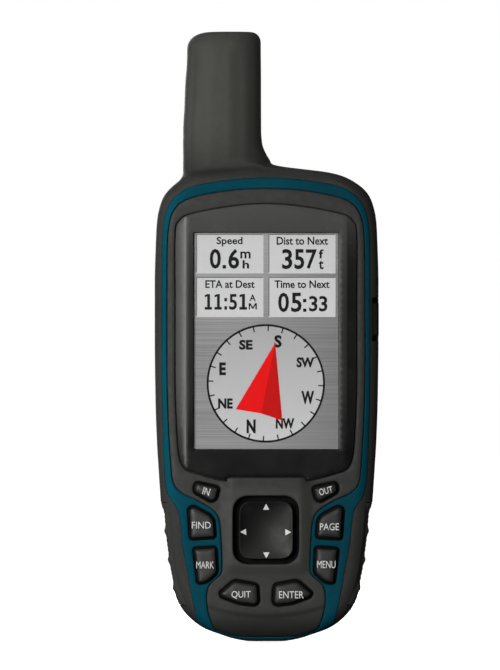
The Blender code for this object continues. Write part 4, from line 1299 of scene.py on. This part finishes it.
# words, box (left, right, low, high), stroke weight
READINGS = [
    ("Speed", (-12.967, -6.158, 103.498, 106.017), 0.022),
    ("ETA at Dest", (-15.910, -2.990, 92.599, 94.669), 0.022),
    ("Dist to Next", (2.783, 16.249, 103.924, 106.050), 0.022),
    ("Time to Next", (2.232, 16.643, 92.583, 94.631), 0.022),
    ("0", (-14.762, -11.844, 97.662, 102.899), 0.022),
    ("6", (-9.899, -7.031, 97.662, 102.899), 0.022),
    ("m", (-6.731, -4.038, 100.355, 102.201), 0.020),
    ("h", (-6.158, -4.437, 97.712, 99.907), 0.026),
    ("5", (-9.674, -7.604, 86.888, 91.053), 0.022),
    ("A", (-4.337, -2.691, 89.182, 90.928), 0.018),
    ("3", (4.200, 6.878, 97.545, 102.821), 0.022),
    ("5", (7.429, 10.028, 97.545, 102.821), 0.022),
    ("7", (10.422, 13.335, 97.624, 102.742), 0.020),
    ("f", (13.808, 15.068, 100.380, 102.742), 0.026),
    ("t", (13.808, 15.068, 97.545, 99.907), 0.026),
    ("0", (3.177, 6.012, 86.283, 91.402), 0.022),
    ("5", (6.563, 9.319, 86.283, 91.402), 0.022),
    ("3", (11.288, 13.493, 86.441, 90.536), 0.022),
    ("3", (13.887, 16.092, 86.441, 90.536), 0.022)]
parts = [glyph(ONE, left, right, 86.937, 91.053)
         for left, right in ((-16.084, -14.164), (-13.515, -11.595), (-6.981, -4.986))]
parts.append(glyph(CAPITAL_M, -4.537, -2.417, 86.987, 88.633))
parts += [printed(rect(*box), 0.05) for box in DOTS]
parts += [lettering(*reading) for reading in READINGS]
piece("lcd_readings", merge(*parts), [LCD_INK], "lcd_panel", sharp=30)

# direction arrow in two reds, split along its middle
tip, left_barb, fold, right_barb = ((2.389, 78.251), (-7.927, 60.847), (-1.233, 59.744),
                                    (4.279, 57.854))
parts = [tag(printed([tip, left_barb, fold], 0.08, -0.01), 0),
         tag(printed([tip, fold, right_barb], 0.08, -0.01), 1)]
piece("lcd_direction_arrow", merge(*parts), [RED_LIGHT, RED_DARK], "lcd_panel", sharp=30)


# ----------------------------------------------------------------------- keys
def key_top(loop, level=-15.2, crown=0.26, reach=1.2):
    """Skin of a cap: deeper by crown at the rim, level from reach inwards."""
    def top(x, z):
        part = np.clip(near(loop, np.stack([x, z], 1)) / reach, 0, 1)
        return level + crown * (1 - part) ** 2
    return top


for name, (_, _, words, box, turn) in KEYS.items():
    hole = KEY_HOLES[name]
    cap_loop = inset(hole, 0.76)
    cap = plate(cap_loop, [], key_top(resample(cap_loop, 0.4)), -11.9, step=0.55, edge=0.34,
                rings=6, loop_step=0.3)
    # foot and skirt take the near-black material: painted shade in the gap round the cap
    foot = bevelled(prism(resample(inset(hole, -0.38), 0.5), -12.0, -11.4), 0.08, 2)
    shadow_skirt = bevelled(prism(resample(inset(hole, 0.10), 0.4), -13.9, -11.7), 0.12, 2)
    mark = text_mesh(words, *box, y=-15.24, turn=turn, thick=0.30)
    piece(name + "_moulding", merge(tag(cap, 0), tag(foot, 2), tag(shadow_skirt, 2), tag(mark, 1)),
          [KEYCAP, LEGEND, SHADOW_BLACK], name, sharp=40, body=name)

# rocker: dished square cap with four arrow marks
ROCKER_CAP = rect(-7.02, 7.02, ROCKER_Z - 7.5, ROCKER_Z + 7.5, 3.3, 10)
rocker_rim = resample(ROCKER_CAP, 0.5)
# arrow marks: centre x, centre z, turn in degrees
ARROWS = [(0.027, 35.227, 0), (-5.926, 28.706, 90), (5.752, 28.630, -90),
          (0.065, 22.639, 180)]


def rocker_top(x, z):
    across, up = x / 7.0, (z - ROCKER_Z) / 7.5
    dish = 1.25 * (1 - np.clip(across * across, 0, 1)) * (1 - np.clip(up * up, 0, 1))
    rim = near(rocker_rim, np.stack([x, z], 1))
    return -15.35 + 0.12 * np.clip(rim / 0.9, 0, 1) + dish


def arrow_mark(x, z, turn):
    cosine, sine = cos(radians(turn)), sin(radians(turn))
    loop = [(x + across * cosine - up * sine, z + across * sine + up * cosine)
            for across, up in ((-0.82, -0.72), (0.82, -0.72), (0.0, 0.86))]
    return press_on(prism(resample(loop, 0.2), 0, 0.1), rocker_top, 0.03, 0.08)


cap = plate(ROCKER_CAP, [], rocker_top, -13.2, step=0.45, edge=0.28, rings=5, loop_step=0.35)
marks = merge(*(arrow_mark(*arrow) for arrow in ARROWS))
piece("rocker_cap_moulding", merge(tag(cap, 0), tag(marks, 1)), [ROCKER, LEGEND],
      "rocker_cap", sharp=40, body="rocker_cap")

# power key on the right flank
button = bevelled(prism(rect(-8.05, -3.15, 79.95, 88.85, 1.3, 8), 26.3, 29.6, "X"), 0.35, 4)
button = boolean(button, less(*(prism(rect(-7.4, -3.8, z - 0.17, z + 0.17), 29.4, 30, "X")
                                for z in (82.4, 83.4, 84.4, 85.4, 86.4))))
button_flange = bevelled(prism(rect(-8.65, -2.95, 79.25, 89.55, 0.8, 5), 25.3, 26.35, "X"),
                         0.12, 2)
piece("power_button_moulding", merge(button, button_flange), [NYLON], "power_button",
      sharp=40, body="power_button")


# ----------------------------------------------------------------- side grips
def grip_out(z, part):
    """Offset of the grip's face: recess, big ribs and fine ribs between them."""
    fade = float(ease(0.0, 0.35, part) * ease(0.0, 0.08, 1 - part))
    rib = sum(np.exp(-(abs(z - height) / 0.85) ** 3) for height in RIBS)
    fine = (0.09 * (0.5 + 0.5 * cos(2 * pi * (z - RIBS[0]) / 1.25))
            * float(ease(0.1, 0.4, part) * ease(0.1, 0.3, 1 - part)))
    recess = 0.74 * float(ease(10.0, 17.5, z)) * (1 - 0.85 * float(ease(33.4, 36.3, z)))
    return float(-recess - 0.03 + 0.42 * rib * fade + fine * (1 - rib))


for side, label in ((-1, "left"), (1, "right")):
    piece("side_grip_%s_moulding" % label, patch(side, 9.6, 36.3, grip_out, -1.4, rows=150),
          [GRIP], "side_grip_" + label, sharp=60)


# --------------------------------------------------------------- battery door
def door_top(x, z):
    """Skin facing -Y, mirrored afterwards: crown, top rim, panel and three ribs."""
    crown = 0.30 * np.clip(np.abs(x) / 20.0, 0, 1) ** 2.4
    rim = 0.28 * (1 - ease(0.0, 1.2, 79.0 - z))
    away = np.maximum(np.abs(x) / 13.6, np.abs(z - 56.5) / 13.2)
    panel = 0.36 * ease(-0.25, 0.25, 1.0 - away)
    ribs = sum(-0.30 * np.exp(-((z - height) / 0.55) ** 4) * ease(0, 1.5, 11.5 - np.abs(x))
               for height in (28.0, 30.6, 33.2))
    return -(Y_DOOR_OUT - 0.3) + crown + rim + panel + ribs


door = plate(DOOR, [], door_top, -Y_DOOR_IN, step=0.7, edge=1.0, rings=7,
             fine=(-14.5, 14.5, 26, 71, 0.45))
door.transform(Matrix.Diagonal((1, -1, 1, 1)))
door.flip_normals()
door = boolean(door, less(
    prism(rect(-15.9, 15.9, 22.0, 76.4, 0.8, 4), Y_DOOR_IN - 0.2, 14.6),
    rod(6.9, 15.6, 18, (0, LATCH_Z), count=72),
    rod(2.5, 13, 16, (0, LATCH_Z), count=40)))
labels = []
for words, box in (("2 x AA", (-7.2, 7.2, 60.0, 63.4)),
                   ("1.5 V ALKALINE", (-10.2, 10.2, 54.2, 56.6)),
                   ("OR 1.2 V TYPE", (-8.8, 8.8, 50.4, 52.8))):
    label = press_on(text_mesh(words, *box, weight=0.01, thick=0.1), door_top, 0.10, 0.15)
    label.transform(Matrix.Diagonal((-1, -1, 1, 1)))
    labels.append(label)
piece("battery_door_moulding", merge(tag(door, 0), tag(merge(*labels), 1)),
      [GREY, PRINT_GREY], "battery_door", body="battery_door")

# latch: knurled disc with the lug for the ring
knurl = []
for k in range(96):
    turn = 2 * pi * k / 96
    radius = 6.35 - (0.28 if k % 4 in (1, 2) else 0.0)
    knurl.append((radius * cos(turn), LATCH_Z + radius * sin(turn)))
disc = bevelled(prism(knurl, 15.9, 17.9), 0.18, 3, 25)
lug = bevelled(prism(rect(-3.35, 3.35, LATCH_Z - 1.85, LATCH_Z + 1.85, 0.8, 5), 17.4, 20.9),
               0.45, 4)
knob = boolean(disc, plus(lug, rod(2.0, 8.0, 16.4, (0, LATCH_Z), count=40))
               + less(rod(1.25, -8, 8, (19.6, LATCH_Z), "X", count=36)))
knob = boolean(knob, less(*(prism(rect(x - 0.35, x + 0.35, LATCH_Z - 1.6, LATCH_Z + 1.6,
                                       0.3, 4), 17.5, 18.5) for x in (-4.9, 4.9))))
piece("latch_knob_moulding", knob, [NYLON], "latch_knob", body="latch")

# ring: round wire bent to a D; path is (x, height above the latch's centre)
RING_CORNER = [(6.2, 0.0), (6.7, 0.12), (7.0, 0.5), (7.25, 0.9)]
path = [(-x, z) for x, z in RING_CORNER]
path += [(-7.4, 1.4 + 3.2 * k / 6) for k in range(7)]
path += [(7.4 * cos(turn), 4.6 + 7.4 * sin(turn)) for turn in np.linspace(pi, 0, 41)[1:]]
path += [(7.4, 4.6 - 3.2 * k / 6) for k in range(1, 7)]
path += RING_CORNER[::-1]
path += [(6.2 - 12.4 * k / 12, 0.0) for k in range(1, 12)]
piece("d_ring_wire", tube([(x, RING_Y - 0.1, LATCH_Z + z) for x, z in path], 0.85),
      [STEEL], "d_ring", sharp=50, body="d_ring")

# mounting spine: T rail with cut corners, two round recesses and three grooves
neck = bevelled(prism(rect(-5.55, 5.55, 92.6, 108.6, 1.2), Y_BACK + 0.02, 18.3), 0.1, 2)
head = bevelled(prism([(-8, 93.6), (-6.9, 92.0), (6.9, 92.0), (8, 93.6), (8, 107.4),
                       (6.6, 109.2), (-6.6, 109.2), (-8, 107.4)], 17.6, Y_SPINE), 0.4, 3)
rail = boolean(neck, plus(head)
               + less(*(rod(2.1, 20.0, 22, (0, z), count=40) for z in (96.4, 104.8)))
               + less(*(prism(rect(-5.6, 5.6, z - 0.2, z + 0.2), 20.75, 22)
                        for z in (99.3, 100.6, 101.9))))
piece("mounting_spine_rail", rail, [NYLON], "mounting_spine")


# ---------------------------------------------------------------- rubber caps
def cap_mesh(left, right, low, high, out_y, plug, words):
    """Cap on the back with a round dimple, an upright groove, a plug and a word."""
    middle_z = (low + high) / 2
    body = bevelled(prism(rect(left, right, low, high, 1.5, 8), Y_BACK - 0.9, out_y), 0.35, 4)
    body = boolean(body, less(
        rod(0.9, out_y - 0.25, out_y + 1, (right - 1.6, middle_z), count=28),
        prism(rect(left + 1.3, left + 1.6, low + 1.4, high - 1.4), out_y - 0.2, out_y + 1)))
    half_word = (right - left) * 0.22
    middle_x = (left + right) / 2 - 0.2
    word = text_mesh(words, -middle_x - half_word, -middle_x + half_word, middle_z - 0.85,
                     middle_z + 0.85, weight=0.01, thick=0.2)
    word.transform(Matrix.Translation((0, -(out_y + 0.10) * MM, 0)))
    word.transform(Matrix.Diagonal((-1, -1, 1, 1)))
    return merge(tag(body, 0), tag(plug, 0), tag(word, 0))


usb_plug = bevelled(prism(rect(-4.2, 4.2, 83.2, 88.0, 1.1), 11.9, 12.9), 0.2, 2)
piece("usb_cap_moulding", cap_mesh(-8.2, 8.2, 81.6, 89.6, Y_BACK + 0.9, usb_plug, "USB"),
      [RUBBER], "usb_cap", body="usb_cap")
mcx_plug = bevelled(rod(2.4, 11.4, 13.0, (9.0, 114.2), count=40), 0.25, 2)
piece("mcx_cap_moulding", cap_mesh(3.0, 14.0, 110.8, 117.6, Y_BACK + 0.7, mcx_plug, "ANT"),
      [RUBBER], "mcx_cap", body="mcx_cap")

# ----------------------------------------------- cells: nub at one end, dished foot
for name, nub_up in (("battery_left", True), ("battery_right", False)):
    least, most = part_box(name)
    centre = [(least[i] + most[i]) / 2 / MM for i in (0, 1)]
    bottom, top, radius = least[2] / MM, most[2] / MM, (most[0] - least[0]) / 2 / MM
    length = top - bottom
    profile = [
        (0, length), (2.35, length), (2.62, length - 0.10), (2.74, length - 0.34),
        (2.78, length - 1.0), (3.1, length - 1.12), (6.2, length - 1.12),
        (radius - 0.42, length - 1.02), (radius - 0.12, length - 1.16),
        (radius - 0.01, length - 1.55), (radius, length - 2.2), (radius, 25.0),
        (radius, 2.0), (radius - 0.02, 1.0), (radius - 0.2, 0.34), (radius - 0.6, 0.08),
        (radius - 1.1, 0.0), (radius - 1.5, 0.12), (4.4, 0.22), (0, 0.22)]
    mesh = turned(profile, centre, count=64)
    if not nub_up:
        mesh.transform(Matrix.Diagonal((1, 1, -1, 1)))
        mesh.flip_normals()
    mesh.transform(Matrix.Translation((0, 0, (bottom if nub_up else top) * MM)))
    piece(name + "_cell", mesh, [CELL], name, sharp=32)

# ------------------------------------------------ materials of the CAD pieces
# first word found in the piece's name wins
CAD_MATERIALS = [
    ("display_gasket", RUBBER), ("housing_gasket", RUBBER), ("keypad_mat", RUBBER),
    ("door_gasket", SEAL), ("backlight", GUIDE), ("lcd_frame", STEEL), ("lcd_flex", AMBER),
    # the rocker carrier takes the near-black material: painted shade in the rocker's moat
    ("board_flex", AMBER), ("dome_sheet", FILM), ("rocker_carrier", SHADOW_BLACK),
    ("main_pcb", BOARD), ("connector_board", BOARD), ("rf_shield", TIN), ("cpu_shield", TIN),
    ("piezo", NYLON), ("power_switch", NYLON), ("backup_cell", STEEL), ("microsd", TIN),
    ("usb_port", TIN), ("mcx_connector", GOLD), ("antenna_core", IVORY),
    ("antenna_element", COPPER), ("antenna_cable", RUBBER), ("antenna", IVORY),
    ("contact_spring", STEEL), ("contact_plate", TIN), ("case_screw", STEEL),
    ("latch_cam", STEEL), ("cell", CELL), ("gasket", RUBBER)]
for name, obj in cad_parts.items():
    material = next((found for word, found in CAD_MATERIALS if word in name), PLATE)
    slots = obj.data.materials
    count = max(1, len(slots))
    slots.clear()
    for _ in range(count):
        slots.append(material)


# ----------------------------------------------------------------------- floor
def floor_pale():
    """Glows white to the camera, grey to other rays, and clear from underneath."""
    look = new_look("floor_pale")
    camera_ray = look.node("LightPath").outputs["Is Camera Ray"]
    pale = look.mix(look.noise(scale=3.0), (0.70, 0.70, 0.70, 1), (0.74, 0.74, 0.74, 1))
    color = look.mix(camera_ray, (0.12, 0.12, 0.12, 1), pale)
    radius = look.node("VectorMath", {0: look.coords["Object"]}, operation="LENGTH")
    glow = look.remap(radius.outputs["Value"], span=(0.05, 0.45), to=(0.90, 1.02),
                      smooth=True)
    material = look.surface(color=color, rough=0.9, specular=0.0, glow_color=(1, 1, 1, 1),
                            glow=look.math("MULTIPLY", camera_ray, glow))
    shown = look.node("MixShader", {
        "Fac": look.node("NewGeometry").outputs["Backfacing"],
        1: look.nodes["Principled BSDF"].outputs["BSDF"],
        2: look.node("BsdfTransparent").outputs["BSDF"]})
    look.plug(shown.outputs["Shader"], look.nodes["Material Output"].inputs["Surface"])
    return material


FLOOR_HALF, FLOOR_DROP = 6, 0.0004
floor_mesh = bpy.data.meshes.new("floor")
floor_mesh.from_pydata([(x * FLOOR_HALF, y * FLOOR_HALF, 0)
                        for x, y in ((-1, -1), (1, -1), (1, 1), (-1, 1))], [], [[0, 1, 2, 3]])
floor_mesh.materials.append(floor_pale())
floor = bpy.data.objects.new("floor", floor_mesh)
floor.location = (0, 0, -FLOOR_DROP)
bpy.context.scene.collection.objects.link(floor)

# ------------------------------------------------- world: white to the camera
world = bpy.data.worlds.new("studio")
bpy.context.scene.world = world
studio = Graph(world)
ambient = studio.nodes["Background"]
studio.plug((1, 1, 1, 1), ambient.inputs["Color"])
ambient.inputs["Strength"].default_value = 0.10  # the link below drives it instead
# stronger from the left
studio.plug(studio.remap(studio.xyz("Generated")[0], span=(-1, 1), to=(0.16, 0.02)),
            ambient.inputs["Strength"])
white = studio.node("Background", {"Color": (1, 1, 1, 1), "Strength": 1.0})
seen = studio.node("MixShader", {
    "Fac": studio.node("LightPath").outputs["Is Camera Ray"],
    1: ambient.outputs["Background"], 2: white.outputs["Background"]})
studio.plug(seen.outputs["Shader"], studio.nodes["World Output"].inputs["Surface"])


# ---------------------------------------------------------------------- lights
def area_light(name, at, target, size, power, size_y=None):
    light = bpy.data.lights.new(name, "AREA")
    light.energy, light.size = power, size
    if size_y:
        light.shape, light.size_y = "RECTANGLE", size_y
    obj = bpy.data.objects.new(name, light)
    bpy.context.scene.collection.objects.link(obj)
    obj.location = at
    obj.rotation_euler = (Vector(target) - Vector(at)).to_track_quat("-Z", "Y").to_euler()
    return obj


area_light("key", at=(-0.33, -0.88, 0.14), target=(0, 0, 0.085), size=0.34, power=8.3)
area_light("left_strip", at=(-0.50, -0.12, 0.12), target=(0, 0, 0.085), size=0.16,
           power=0.55, size_y=0.5)
area_light("right_fill", at=(0.55, -0.25, 0.12), target=(0, 0, 0.08), size=0.4, power=0.12)
area_light("above", at=(0.0, 0.30, 0.95), target=(0, 0, 0.07), size=0.5, power=1.2)
area_light("back_key", at=(-0.30, 0.95, 0.24), target=(0, 0, 0.08), size=0.30, power=4.5)
back_right = area_light("back_right", at=(0.50, 1.00, 0.22), target=(0, 0, 0.08),
                        size=0.30, power=10.0)
back_right.visible_glossy = False

# ---------------------------------------------------------------------- camera
DISTANCE, VIEW_WIDTH, SENSOR = 4.0, 0.17588, 36.0  # metres, metres, sensor in mm
camera = bpy.data.cameras.new("camera")
camera_obj = bpy.data.objects.new("camera", camera)
scene = bpy.context.scene
scene.collection.objects.link(camera_obj)
camera.sensor_fit = "AUTO"
camera.sensor_width = SENSOR
camera.lens = SENSOR * DISTANCE / VIEW_WIDTH
camera.clip_start, camera.clip_end = 0.05, 30
camera_obj.location = (-0.0042, -DISTANCE - 0.007, 0.0803)
camera_obj.rotation_euler = (pi / 2, 0, 0)
scene.camera = camera_obj
scene.view_settings.view_transform = "Standard"
scene.view_settings.look = "None"

bpy.data.collections.remove(scratch)
